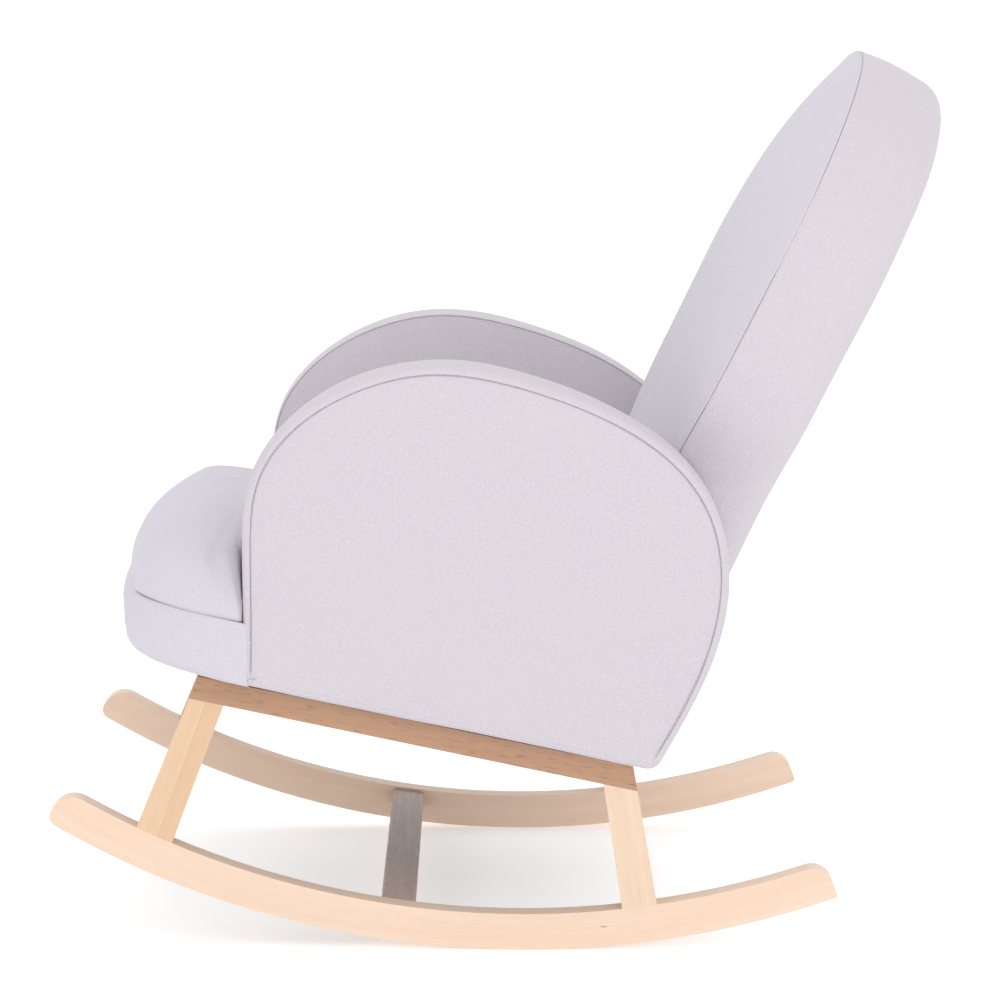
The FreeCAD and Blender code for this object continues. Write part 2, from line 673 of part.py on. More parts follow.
# ---- backrest, in the back frame ---------------------------------------------------------
def back_face(inset=0.0):
    """Front view: round arch, widest above the arms, waisted to pass between them."""
    half, waist = BACK_HALF - inset, BACK_WAIST - inset
    rise = BACK_TOP - BACK_BULGE_S - inset
    arch = []
    for k in range(1, 12):
        angle = math.radians(15.0 * k)
        arch.append((half * math.cos(angle), BACK_BULGE_S + rise * math.sin(angle)))
    flank = [(waist, -12.0), (waist + 21, 45.0), (half - 3, 130.0), (half, BACK_BULGE_S)]
    spots = flank + arch + [(-x, s) for x, s in reversed(flank)]
    low = BACK_BOTTOM + inset
    edges = [
        curve_edge("XZ", spots),
        line_edge("XZ", spots[-1], (-waist, low)),
        line_edge("XZ", (-waist, low), (waist, low)),
        line_edge("XZ", (waist, low), spots[0]),
    ]
    return Part.Face(Part.Wire(edges))


def back_prism(face, t0, t1):
    solid = face.extrude(Vector(0, t1 - t0, 0))
    solid.translate(Vector(0, t0, 0))
    return solid


def back_solid(inset):
    """Whole backrest: arched slab with a domed front and a rounded rear edge."""
    slab = back_prism(back_face(inset), -2 * BACK_CROWN, BACK_THICK - inset)
    rear = [e for e in slab.Edges if abs(e.BoundBox.YMin - (BACK_THICK - inset)) < 1e-3
            and e.BoundBox.YLength < 1e-3 and e.BoundBox.ZMax > BACK_BOTTOM + inset + 1]
    slab = slab.makeFillet(BACK_ROUND - inset, rear)
    ball = Part.makeSphere(BACK_CROWN_RADIUS - inset,
                           Vector(0, BACK_CROWN_RADIUS - BACK_CROWN, BACK_CROWN_S))
    return back_place(slab.common(ball))


POST_X = 167.0              # inner faces of the back posts
POST_WIDE = 35.0
POST_FOOT = -330.0
POST_TOP = 198.0            # where the posts meet the bow
BOW_WIDE = 38.0
BOW_INSET = 18.0
BOW_GAP = 2.0               # between the bow and the cover behind it
BACK_RAIL_S = {"back_middle_rail": 60.0, "back_lower_rail": -150.0}
BACK_RAIL_HIGH = 45.0
BACK_RAIL_IN = 5.0          # thinner than the posts by this on each face
BACK_BOLT_AT = ((-318.0, -8.0), (-292.0, 8.0))   # along the post, off its middle
BACK_BOLT_HEAD = 5.8
STRAP_COUNT = 6
STRAP_FIRST = -120.0
STRAP_PITCH = 62.0
STRAP_WIDE = 38.0
STRAP_THICK = 3.2
STRAP_GAP = 0.4


def back_bolts(grow=0.0):
    """Bolts across the chair that hold each back post to its seat rail."""
    bolts = []
    for side in SIDES.values():
        for s, off in BACK_BOLT_AT:
            t = (FRAME_FRONT + FRAME_REAR) / 2 + off
            head_end = Vector(side * (POST_X - BACK_BOLT_HEAD - grow), t, s)
            shank = rod(BOLT_R + grow, head_end, Vector(side * (FRAME_HALF - SEAT_GAP), t, s))
            head = rod(HEAD_R + grow, head_end, Vector(side * (POST_X + grow), t, s))
            bolts.append(back_place(shank.fuse(head).removeSplitter()))
    return bolts


def build_back():
    outer = back_solid(0.0)
    filling = back_solid(COVER)
    shell = outer.cut(filling)
    rear_zone = back_place(box(-FAR, FAR, BACK_THICK - COVER - BACK_SEAM_LIP, FAR, -FAR, FAR))
    add("back_cover", shell.cut(rear_zone))
    add("outside_back_panel", shell.common(rear_zone))
    foam_rear = FRAME_FRONT - STRAP_THICK - 2 * STRAP_GAP
    front_zone = back_place(box(-FAR, FAR, -FAR, foam_rear, -FAR, FAR))
    add("back_foam", filling.common(front_zone))
    post = box(POST_X, POST_X + POST_WIDE, FRAME_FRONT, FRAME_REAR, POST_FOOT, POST_TOP)
    posts = {}
    for name, side in SIDES.items():
        posts[name] = mirrored(back_place(post), side).cut(group(back_bolts(CLEAR)))
        add("back_post_" + name, posts[name])
    nodes["back_cover"] = nodes["back_cover"].cut(group(list(posts.values())))
    bow = back_prism(back_face(BOW_INSET), FRAME_FRONT, FRAME_REAR).cut(
        back_prism(back_face(BOW_INSET + BOW_WIDE), FRAME_FRONT, FRAME_REAR))
    bow = bow.common(box(-FAR, FAR, FRAME_FRONT, FRAME_REAR, POST_TOP, FAR))
    add("back_top_bow", back_place(bow).common(back_solid(COVER + BOW_GAP)))
    for name, s in BACK_RAIL_S.items():
        rail = box(-POST_X, POST_X, FRAME_FRONT + BACK_RAIL_IN, FRAME_REAR - BACK_RAIL_IN,
                   s, s + BACK_RAIL_HIGH)
        add(name, back_place(rail))
    straps = []
    half = POST_X + POST_WIDE - BACK_RAIL_IN
    for k in range(STRAP_COUNT):
        s = STRAP_FIRST + STRAP_PITCH * k
        straps.append(back_place(box(-half, half, FRAME_FRONT - STRAP_GAP - STRAP_THICK,
                                     FRAME_FRONT - STRAP_GAP, s, s + STRAP_WIDE)))
    add("back_webbing", group(straps))
    add("back_bolts", group(back_bolts()))


# line of the skirt's outside, from the backrest down to the body's underside
REAR_SKIRT = [(248, 386), (240, 340), (224, 300), (202, 254), (188, 226)]


def build_rear_skirt():
    """Fabric panel that closes the body below the backrest, between the arms."""
    side = ARM_INNER_X - SEAT_GAP
    within = [(y - COVER, z) for y, z in REAR_SKIRT]
    edges = [
        curve_edge("YZ", REAR_SKIRT),
        line_edge("YZ", REAR_SKIRT[-1], within[-1]),
        curve_edge("YZ", within[::-1]),
        line_edge("YZ", within[0], REAR_SKIRT[0]),
    ]
    face = Part.Face(Part.Wire(edges))
    panel = prism_x(face, -side, side)
    add("rear_skirt", panel.cut(back_solid(-SEAT_GAP)))


# ---- assembly ----------------------------------------------------------------------------
build_base()
for side_name, side_sign in SIDES.items():
    for piece_name, piece in arm_pieces().items():
        add(piece_name + "_" + side_name, mirrored(piece, side_sign))
build_seat()
build_seat_frame()
build_back()
build_rear_skirt()

whole = FreeCAD.BoundBox()
for shape in nodes.values():
    whole.add(shape.optimalBoundingBox())
to_origin = Vector(-whole.Center.x, -whole.Center.y, -whole.ZMin)

os.makedirs("parts", exist_ok=True)
for node_name, shape in nodes.items():
    shape = shape.copy()
    shape.translate(to_origin)
    shape.exportStep("parts/" + node_name + ".step")
    print(node_name, len(shape.Solids), round(shape.Volume / 1000.0, 1), shape.isValid())
print("moved by", to_origin, "size", whole.XLength, whole.YLength, whole.ZLength)
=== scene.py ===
import bmesh
import bpy
import json
import math
import numpy as np
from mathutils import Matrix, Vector, kdtree


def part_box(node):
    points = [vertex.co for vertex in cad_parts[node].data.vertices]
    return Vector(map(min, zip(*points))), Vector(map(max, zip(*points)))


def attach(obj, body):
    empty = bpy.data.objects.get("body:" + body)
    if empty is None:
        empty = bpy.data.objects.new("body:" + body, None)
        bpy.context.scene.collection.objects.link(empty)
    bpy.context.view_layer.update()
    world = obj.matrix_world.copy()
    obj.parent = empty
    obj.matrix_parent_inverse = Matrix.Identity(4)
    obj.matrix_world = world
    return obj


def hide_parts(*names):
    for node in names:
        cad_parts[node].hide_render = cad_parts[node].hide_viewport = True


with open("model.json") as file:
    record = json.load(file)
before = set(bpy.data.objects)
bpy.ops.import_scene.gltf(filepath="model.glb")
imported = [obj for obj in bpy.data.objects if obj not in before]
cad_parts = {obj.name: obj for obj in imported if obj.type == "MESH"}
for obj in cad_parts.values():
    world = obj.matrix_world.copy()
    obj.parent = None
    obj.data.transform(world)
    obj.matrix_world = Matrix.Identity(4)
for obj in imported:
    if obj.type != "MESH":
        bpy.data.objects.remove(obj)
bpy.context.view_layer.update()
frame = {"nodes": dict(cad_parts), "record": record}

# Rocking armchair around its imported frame. Metres, +X to the sitter's left, -Y to the front, +Z up.
# Side-view points are laid out in millimetres with Y measured from a datum 42 mm in front of the
# line where the rockers touch the floor, as in the part's source.
CONTACT_Y = 0.042
MOUNTS = {m["name"]: m for m in frame["record"]["mounts"]}
DATUM_Y = MOUNTS["floor_contact"]["pos_m"][1] - CONTACT_Y

SEAT_TILT = math.radians(12.0)
RAIL_FRONT = (-311.0, 304.0)
BODY_BASE = 4.0                    # underside of the body above the rail's top plane, mm
SEAM_W = 72.0                      # cushion seam above the rail's top plane, mm
ARM_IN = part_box("arm_cover_left")[0].x
ARM_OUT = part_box("arm_cover_left")[1].x


def rail_point(u, w):
    """(y, z) in mm of a point u along the side rail and w above its top plane."""
    return (RAIL_FRONT[0] + u * math.cos(SEAT_TILT) + w * math.sin(SEAT_TILT),
            RAIL_FRONT[1] - u * math.sin(SEAT_TILT) + w * math.cos(SEAT_TILT))


# ---- curves ------------------------------------------------------------------------------
def smooth_line(points, count):
    """Natural cubic spline through points, resampled at equal steps."""
    p = np.array(points, float)
    t = np.concatenate([[0.0], np.cumsum(np.linalg.norm(np.diff(p, axis=0), axis=1))])
    h = np.diff(t)
    n = len(p)
    system, right = np.eye(n), np.zeros_like(p)
    for i in range(1, n - 1):
        system[i, i - 1:i + 2] = (h[i - 1], 2 * (h[i - 1] + h[i]), h[i])
        right[i] = 6 * ((p[i + 1] - p[i]) / h[i] - (p[i] - p[i - 1]) / h[i - 1])
    bend = np.linalg.solve(system, right)
    s = np.linspace(0, t[-1], 8 * count)
    k = np.clip(np.searchsorted(t, s, side="right") - 1, 0, n - 2)
    a, b = (t[k + 1] - s)[:, None], (s - t[k])[:, None]
    step = h[k][:, None]
    dense = (bend[k] * a ** 3 + bend[k + 1] * b ** 3) / (6 * step)
    dense += (p[k] / step - bend[k] * step / 6) * a + (p[k + 1] / step - bend[k + 1] * step / 6) * b
    return resampled(dense, count)


def resampled(points, count, closed=False):
    """The polyline at equal steps."""
    p = np.array(points, float)
    if closed:
        p = np.vstack([p, p[:1]])
    t = np.concatenate([[0.0], np.cumsum(np.linalg.norm(np.diff(p, axis=0), axis=1))])
    s = np.linspace(0, t[-1], count + 1)[:-1] if closed else np.linspace(0, t[-1], count)
    return np.stack([np.interp(s, t, p[:, i]) for i in range(p.shape[1])], axis=1)


def rounded_corner(before, corner, after, radius, steps=10):
    """Arc that rounds a corner between two straight runs."""
    c = np.array(corner, float)
    a, b = np.array(before, float) - c, np.array(after, float) - c
    a, b = a / np.linalg.norm(a), b / np.linalg.norm(b)
    half = math.acos(float(np.clip(a @ b, -1, 1))) / 2
    run = radius / math.tan(half)
    middle = c + (a + b) / np.linalg.norm(a + b) * radius / math.sin(half)
    start, end = c + a * run - middle, c + b * run - middle
    out = []
    for k in range(steps + 1):
        mix = start * (1 - k / steps) + end * k / steps
        out.append(middle + mix / np.linalg.norm(mix) * radius)
    return out


def normals_of(outline):
    """Outward normals of a closed outline that runs clockwise in its plane."""
    ahead = np.roll(outline, -1, axis=0) - np.roll(outline, 1, axis=0)
    ahead /= np.linalg.norm(ahead, axis=1)[:, None]
    return np.stack([-ahead[:, 1], ahead[:, 0]], axis=1)


def smoothstep(t):
    t = np.clip(t, 0.0, 1.0)
    return t * t * (3 - 2 * t)


# ---- meshes ------------------------------------------------------------------------------
def mesh_object(name, points, faces):
    mesh = bpy.data.meshes.new(name)
    mesh.from_pydata([tuple(map(float, p)) for p in points], [], [tuple(f) for f in faces])
    mesh.validate()
    obj = bpy.data.objects.new(name, mesh)
    bpy.context.scene.collection.objects.link(obj)
    shade_smooth(obj)
    return obj


def shade_smooth(obj):
    obj.data.polygons.foreach_set("use_smooth", [True] * len(obj.data.polygons))
    obj.data.update()


def loft(name, rows, closed=True, cap_ends=True):
    """Surface over rows of points, each row closed on itself or open."""
    count = len(rows[0])
    points = np.vstack(rows)
    faces = []
    for r in range(len(rows) - 1):
        for k in range(count if closed else count - 1):
            k2 = (k + 1) % count
            faces.append((r * count + k, r * count + k2, (r + 1) * count + k2, (r + 1) * count + k))
    if cap_ends:
        last = (len(rows) - 1) * count
        faces.append(tuple(range(count))[::-1])
        faces.append(tuple(last + k for k in range(count)))
    return mesh_object(name, points, faces)


def coords(obj):
    out = np.empty(len(obj.data.vertices) * 3, np.float32)
    obj.data.vertices.foreach_get("co", out)
    return out.reshape(-1, 3).astype(float)


def set_coords(obj, points):
    obj.data.vertices.foreach_set("co", points.astype(np.float32).ravel())
    obj.data.update()


def vertex_normals(obj):
    return np.array([v.normal for v in obj.data.vertices], float).reshape(-1, 3)


def apply_modifiers(obj):
    """Bakes the modifiers into the mesh."""
    graph = bpy.context.evaluated_depsgraph_get()
    mesh = bpy.data.meshes.new_from_object(obj.evaluated_get(graph))
    obj.modifiers.clear()
    obj.data = mesh
    shade_smooth(obj)


def outward(obj):
    """Turns the faces outward."""
    bm = bmesh.new()
    bm.from_mesh(obj.data)
    bmesh.ops.recalc_face_normals(bm, faces=bm.faces)
    bm.to_mesh(obj.data)
    bm.free()
    shade_smooth(obj)


def voxel_copy(obj, name, voxel):
    copy = bpy.data.objects.new(name, obj.data.copy())
    bpy.context.scene.collection.objects.link(copy)
    remesh = copy.modifiers.new("voxels", "REMESH")
    remesh.mode = "VOXEL"
    remesh.voxel_size = voxel
    apply_modifiers(copy)
    even = copy.modifiers.new("even", "SMOOTH")
    even.factor, even.iterations = 0.5, 4
    apply_modifiers(copy)
    return copy


# ---- padding by cloth simulation ---------------------------------------------------------
CLOTH_FRAMES = 20
CLOTH_PRESSURE = 4.0


def simulate(obj, held, cap):
    """Inflates a closed mesh as cloth. held gives 0 to 1 per vertex; no point moves past the cap."""
    start = coords(obj)
    group = obj.vertex_groups.new(name="held")
    for index in np.nonzero(held > 0.02)[0]:
        group.add([int(index)], float(held[index]), "REPLACE")
    cloth = obj.modifiers.new("cloth", "CLOTH")
    settings = cloth.settings
    settings.quality = 5
    settings.mass = 0.3
    settings.tension_stiffness = settings.compression_stiffness = 12.0
    settings.shear_stiffness = 5.0
    settings.bending_stiffness = 0.6
    settings.vertex_group_mass = "held"
    settings.pin_stiffness = 1.0
    settings.use_pressure = True
    settings.uniform_pressure_force = CLOTH_PRESSURE
    settings.effector_weights.gravity = 0.0
    cloth.collision_settings.use_collision = False
    cloth.collision_settings.use_self_collision = False
    cloth.point_cache.frame_start = 1
    cloth.point_cache.frame_end = CLOTH_FRAMES
    scene = bpy.context.scene
    for number in range(1, CLOTH_FRAMES + 1):
        scene.frame_set(number)
    apply_modifiers(obj)
    scene.frame_set(1)
    moved = coords(obj) - start
    length = np.linalg.norm(moved, axis=1)
    limit = cap * np.tanh(length / cap) / np.maximum(length, 1e-9)
    moved *= limit[:, None]
    set_coords(obj, start + moved)
    return start, moved


def puff(obj, voxel, cap, held_at):
    """Pads a finely built cover: an evenly meshed copy is inflated as cloth, and the cover takes over
    its movement, so that edges and seams stay as fine as they were built."""
    copy = voxel_copy(obj, obj.name + "_cloth", voxel)
    start, moved = simulate(copy, held_at(coords(copy)), cap)
    tree = kdtree.KDTree(len(start))
    for index, point in enumerate(start):
        tree.insert(point, index)
    tree.balance()
    points = coords(obj)
    for index, point in enumerate(points):
        near = tree.find_n(point, 5)
        weight = np.array([1.0 / (n[2] + voxel / 4) ** 2 for n in near])
        shift = moved[[n[1] for n in near]]
        points[index] += (weight[:, None] * shift).sum(0) / weight.sum()
    set_coords(obj, points)
    bpy.data.objects.remove(copy)


def near_path(points, path, reach):
    """1 on a path, falling to 0 at the reach."""
    tree = kdtree.KDTree(len(path))
    for index, spot in enumerate(path):
        tree.insert(spot, index)
    tree.balance()
    far = np.array([tree.find(p)[2] for p in points])
    return smoothstep(1 - far / reach)


def swell(obj, size, amount, seed):
    """Slow uneven swelling of the padding, a fraction of a millimetre."""
    points = coords(obj)
    rng = np.random.default_rng(seed)
    lift = np.zeros(len(points))
    for _ in range(6):
        way = rng.normal(size=3)
        way *= 2 * math.pi / (size * (0.7 + 0.6 * rng.random())) / np.linalg.norm(way)
        lift += np.sin(points @ way + rng.random() * 2 * math.pi)
    set_coords(obj, points + vertex_normals(obj) * (lift * amount / 3)[:, None])


def stitches(name, path, long, gap, thick, sink, facing):
    """Row of separate thread stitches that lie along a path, each a small rounded bar."""
    length = float(np.linalg.norm(np.diff(path, axis=0), axis=1).sum())
    line = resampled(path, int(length / 0.0005) + 2)
    step = int((long + gap) / 0.0005)
    run = int(long / 0.0005)
    points, faces = [], []
    for first in range(0, len(line) - run - 1, step):
        a, b = line[first], line[first + run]
        along = (b - a) / np.linalg.norm(b - a)
        up = facing(line[first])
        up = up - (up @ along) * along
        up /= np.linalg.norm(up)
        side = np.cross(along, up)
        base = len(points)
        for share, scale in ((0.0, 0.35), (0.15, 1.0), (0.85, 1.0), (1.0, 0.35)):
            centre = a + (b - a) * share - up * (sink + (1 - scale) * thick / 2)
            for k in range(6):
                turn = 2 * math.pi * k / 6
                points.append(centre + (side * math.cos(turn) + up * math.sin(turn)) * thick / 2 * scale)
        for ring in range(3):
            for k in range(6):
                k2 = (k + 1) % 6
                lo, hi = base + ring * 6, base + (ring + 1) * 6
                faces.append((lo + k, lo + k2, hi + k2, hi + k))
        faces.append(tuple(base + k for k in range(6))[::-1])
        faces.append(tuple(base + 18 + k for k in range(6)))
    return mesh_object(name, points, faces)


# ---- materials ---------------------------------------------------------------------------
class Shader:
    """A material's node tree with short helpers."""

    def __init__(self, name):
        self.material = bpy.data.materials.new(name)
        self.material.use_nodes = True
        self.tree = self.material.node_tree
        self.surface = self.tree.nodes["Principled BSDF"]
        self.place = self.tree.nodes.new("ShaderNodeTexCoord").outputs["Object"]

    def node(self, kind, **values):
        node = self.tree.nodes.new(kind)
        for key, value in values.items():
            setattr(node, key, value)
        return node

    def link(self, out, into):
        self.tree.links.new(out, into)

    def mapped(self, place, scale=(1, 1, 1), turn=(0, 0, 0)):
        node = self.node("ShaderNodeMapping")
        self.link(place, node.inputs["Vector"])
        node.inputs["Scale"].default_value = scale
        node.inputs["Rotation"].default_value = turn
        return node.outputs["Vector"]

    def noise(self, place, scale, detail=3.0, rough=0.55):
        node = self.node("ShaderNodeTexNoise")
        self.link(place, node.inputs["Vector"])
        node.inputs["Scale"].default_value = scale
        node.inputs["Detail"].default_value = detail
        node.inputs["Roughness"].default_value = rough
        return node.outputs["Fac"]

    def cells(self, place, scale, feature="F1"):
        node = self.node("ShaderNodeTexVoronoi", feature=feature)
        self.link(place, node.inputs["Vector"])
        node.inputs["Scale"].default_value = scale
        return node.outputs["Distance"]

    def span(self, value, low, high, to_low=0.0, to_high=1.0):
        node = self.node("ShaderNodeMapRange")
        self.link(value, node.inputs["Value"])
        for key, number in (("From Min", low), ("From Max", high), ("To Min", to_low), ("To Max", to_high)):
            node.inputs[key].default_value = number
        return node.outputs["Result"]

    def math(self, operation, a, b=None):
        node = self.node("ShaderNodeMath", operation=operation)
        for index, value in enumerate((a, b)):
            if value is None:
                continue
            if isinstance(value, (int, float)):
                node.inputs[index].default_value = value
            else:
                self.link(value, node.inputs[index])
        return node.outputs[0]

    def mix(self, share, a, b, blend="MIX"):
        node = self.node("ShaderNodeMix", data_type="RGBA", blend_type=blend)
        for index, value in ((0, share), (6, a), (7, b)):
            if isinstance(value, (int, float)):
                node.inputs[index].default_value = value
            elif isinstance(value, tuple):
                node.inputs[index].default_value = (*value, 1.0)
            else:
                self.link(value, node.inputs[index])
        return node.outputs[2]

    def bump(self, height, strength, distance, under=None):
        node = self.node("ShaderNodeBump")
        self.link(height, node.inputs["Height"])
        node.inputs["Strength"].default_value = strength
        node.inputs["Distance"].default_value = distance
        if under is not None:
            self.link(under, node.inputs["Normal"])
        return node.outputs["Normal"]

    def finish(self, colour, roughness, normal, metallic=0.0):
        for key, value in (("Base Color", colour), ("Roughness", roughness), ("Normal", normal)):
            if isinstance(value, (int, float)):
                self.surface.inputs[key].default_value = value
            else:
                self.link(value, self.surface.inputs[key])
        self.surface.inputs["Metallic"].default_value = metallic
        return self.material


def srgb(*rgb):
    """Linear colour from 0..255 display values."""
    out = []
    for value in rgb:
        c = value / 255.0
        out.append(c / 12.92 if c <= 0.04045 else ((c + 0.055) / 1.055) ** 2.4)
    return tuple(out)


def woven(name, light, dark, stretch, nub=0.0017):
    """Nubby crepe weave: short raised threads about 2 mm apart, a little unlike each other."""
    s = Shader(name)
    warped = s.mapped(s.place, stretch)
    nubs = s.cells(warped, 1.0 / nub)
    threads = s.noise(s.mapped(s.place, (stretch[0], stretch[1], stretch[2] * 0.35)), 1.6 / nub, 2.0)
    fibre = s.noise(s.place, 2600.0, 2.0, 0.7)
    tone = s.noise(s.place, 9.0, 3.0)
    patch = s.noise(s.place, 60.0, 2.0)
    height = s.math("ADD", s.span(nubs, 0.0, 0.65, 1.0, 0.0), s.math("MULTIPLY", threads, 0.7))
    colour = s.mix(s.span(height, 0.55, 1.25), dark, light)
    shade = tuple(c * 0.93 for c in light)
    colour = s.mix(s.span(tone, 0.35, 0.65, 0.0, 0.5), colour, s.mix(0.5, colour, shade))
    colour = s.mix(s.span(patch, 0.3, 0.7, 0.0, 0.22), colour, (1.0, 0.965, 0.975), "MULTIPLY")
    normal = s.bump(fibre, 0.25, 0.0003)
    normal = s.bump(height, 0.42, 0.0005, normal)
    s.surface.inputs["Sheen Weight"].default_value = 0.10
    s.surface.inputs["Sheen Roughness"].default_value = 0.45
    s.surface.inputs["Specular IOR Level"].default_value = 0.18
    return s.finish(colour, s.span(fibre, 0.3, 0.7, 0.82, 0.97), normal)


def wood(name, light, dark, along, pores=0.0, gloss=0.42, bent=False, turn=0.0, fleck=None,
         ring_size=0.011, split=None):
    """Lacquered wood with grain along a bar: growth lines, fine fibre and, in some, open pores."""
    s = Shader(name)
    place = s.place
    if bent:
        parts = s.node("ShaderNodeSeparateXYZ")
        s.link(place, parts.inputs[0])
        ahead = s.math("SUBTRACT", parts.outputs[1], BEND_CENTRE[1])
        below = s.math("SUBTRACT", BEND_CENTRE[2], parts.outputs[2])
        angle = s.math("ARCTAN2", ahead, below)
        reach = s.math("SQRT", s.math("ADD", s.math("MULTIPLY", ahead, ahead),
                                      s.math("MULTIPLY", below, below)))
        joined = s.node("ShaderNodeCombineXYZ")
        s.link(parts.outputs[0], joined.inputs[0])
        s.link(s.math("MULTIPLY", angle, BEND_CENTRE[2]), joined.inputs[1])
        s.link(reach, joined.inputs[2])
        place = joined.outputs[0]
    elif turn:
        place = s.mapped(place, turn=(turn, 0, 0))
    stretch = [1.0, 1.0, 1.0]
    stretch["XYZ".index(along)] = 0.045
    drawn = s.mapped(place, tuple(stretch))
    wander = s.noise(drawn, 28.0, 2.0)
    rings = s.noise(drawn, 1.0 / ring_size, 3.0, 0.5)
    fibre = s.noise(drawn, 900.0, 3.0, 0.6)
    tone = s.noise(place, 5.0, 2.0)
    grain = s.math("ADD", s.math("MULTIPLY", rings, 0.55), s.math("MULTIPLY", wander, 0.45))
    colour = s.mix(s.span(grain, 0.34, 0.66), light, dark)
    colour = s.mix(s.span(fibre, 0.42, 0.72, 0.0, 0.30), colour, tuple(c * 0.72 for c in dark))
    colour = s.mix(s.span(tone, 0.35, 0.7, 0.0, 0.35), colour, tuple(c * 0.9 for c in light))
    height = fibre
    if pores:
        stretch["XYZ".index(along)] = 0.09
        slots = s.noise(s.mapped(place, tuple(stretch)), 620.0, 1.0, 0.4)
        open_pores = s.span(slots, 0.60, 0.70)
        colour = s.mix(s.math("MULTIPLY", open_pores, pores), colour, tuple(c * 0.42 for c in dark))
        height = s.math("SUBTRACT", fibre, open_pores)
    if split is not None:
        point, normal, tint = split
        dot = s.node("ShaderNodeVectorMath", operation="DOT_PRODUCT")
        s.link(s.place, dot.inputs[0])
        dot.inputs[1].default_value = normal
        side = s.math("SUBTRACT", dot.outputs["Value"], float(np.dot(point, normal)))
        colour = s.mix(s.span(side, -0.0003, 0.0003), colour, tint, "MULTIPLY")
        line = s.span(s.math("ABSOLUTE", side), 0.0, 0.0007, 1.0, 0.0)
        colour = s.mix(s.math("MULTIPLY", line, 0.55), colour, tuple(c * 0.5 for c in dark))
    if fleck is not None:
        away = s.node("ShaderNodeVectorMath", operation="DISTANCE")
        s.link(s.mapped(s.place, (1, 0.45, 1.6)), away.inputs[0])
        away.inputs[1].default_value = (fleck[0], fleck[1] * 0.45, fleck[2] * 1.6)
        colour = s.mix(s.span(away.outputs["Value"], 0.0009, 0.0022, 0.8, 0.0), colour,
                       srgb(120, 78, 46))
    # painted highlight: sharp convex edges made paler, as if they caught the light
    edge = s.node("ShaderNodeNewGeometry").outputs["Pointiness"]
    colour = s.mix(s.span(edge, 0.51, 0.58, 0.0, 0.35), colour, tuple(min(1, c * 1.12) for c in light))
    normal = s.bump(height, 0.22, 0.0004)
    s.surface.inputs["Coat Weight"].default_value = 0.12
    s.surface.inputs["Coat Roughness"].default_value = 0.35
    return s.finish(colour, s.span(fibre, 0.3, 0.7, gloss - 0.06, gloss + 0.1), normal)


def plain_metal(name, colour, roughness, metallic):
    s = Shader(name)
    mottle = s.noise(s.place, 260.0, 3.0)
    marks = s.noise(s.mapped(s.place, (1, 0.1, 1)), 500.0, 2.0)
    tint = s.mix(s.span(mottle, 0.3, 0.7, 0.0, 0.5), colour, tuple(c * 0.7 for c in colour))
    rough = s.span(marks, 0.3, 0.7, roughness - 0.08, roughness + 0.12)
    return s.finish(tint, rough, s.bump(mottle, 0.2, 0.0003), metallic)


def spongy(name, colour, cell):
    s = Shader(name)
    bubbles = s.cells(s.place, 1.0 / cell)
    tone = s.noise(s.place, 14.0, 3.0)
    tint = s.mix(s.span(bubbles, 0.1, 0.6), tuple(c * 0.75 for c in colour), colour)
    tint = s.mix(s.span(tone, 0.3, 0.7, 0.0, 0.3), tint, tuple(c * 0.88 for c in colour))
    return s.finish(tint, 0.92, s.bump(bubbles, 0.5, 0.001))


def fleece(name, colour):
    """Non-woven lining or felt: matted fibres and pressed dots."""
    s = Shader(name)
    fibres = s.noise(s.mapped(s.place, (1, 0.5, 1)), 800.0, 4.0, 0.7)
    dots = s.cells(s.place, 330.0)
    tint = s.mix(s.span(fibres, 0.3, 0.7), colour, tuple(min(1, c * 1.6 + 0.01) for c in colour))
    height = s.math("ADD", fibres, s.span(dots, 0.0, 0.3, -0.5, 0.0))
    return s.finish(tint, 0.9, s.bump(height, 0.4, 0.0006))


def thread(name, colour):
    s = Shader(name)
    twist = s.noise(s.place, 4000.0, 1.0)
    tint = s.mix(s.span(twist, 0.35, 0.65), colour, tuple(c * 0.75 for c in colour))
    return s.finish(tint, 0.7, s.bump(twist, 0.3, 0.0002))


ROCKER_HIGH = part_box("rocker_left")[1]
BEND_RADIUS = 1.005
BEND_CENTRE = (0.0, MOUNTS["floor_contact"]["pos_m"][1], BEND_RADIUS)


def leg_axis(node):
    """Tilt of a leg from the vertical in the side view and its middle, from its four corners."""
    points = coords(frame["nodes"][node])
    top = points[points[:, 2] > points[:, 2].max() - 0.012]
    low = points[points[:, 2] < points[:, 2].min() + 0.012]
    run = top.mean(0) - low.mean(0)
    return math.atan2(run[1], run[2]), (top.mean(0) + low.mean(0)) / 2


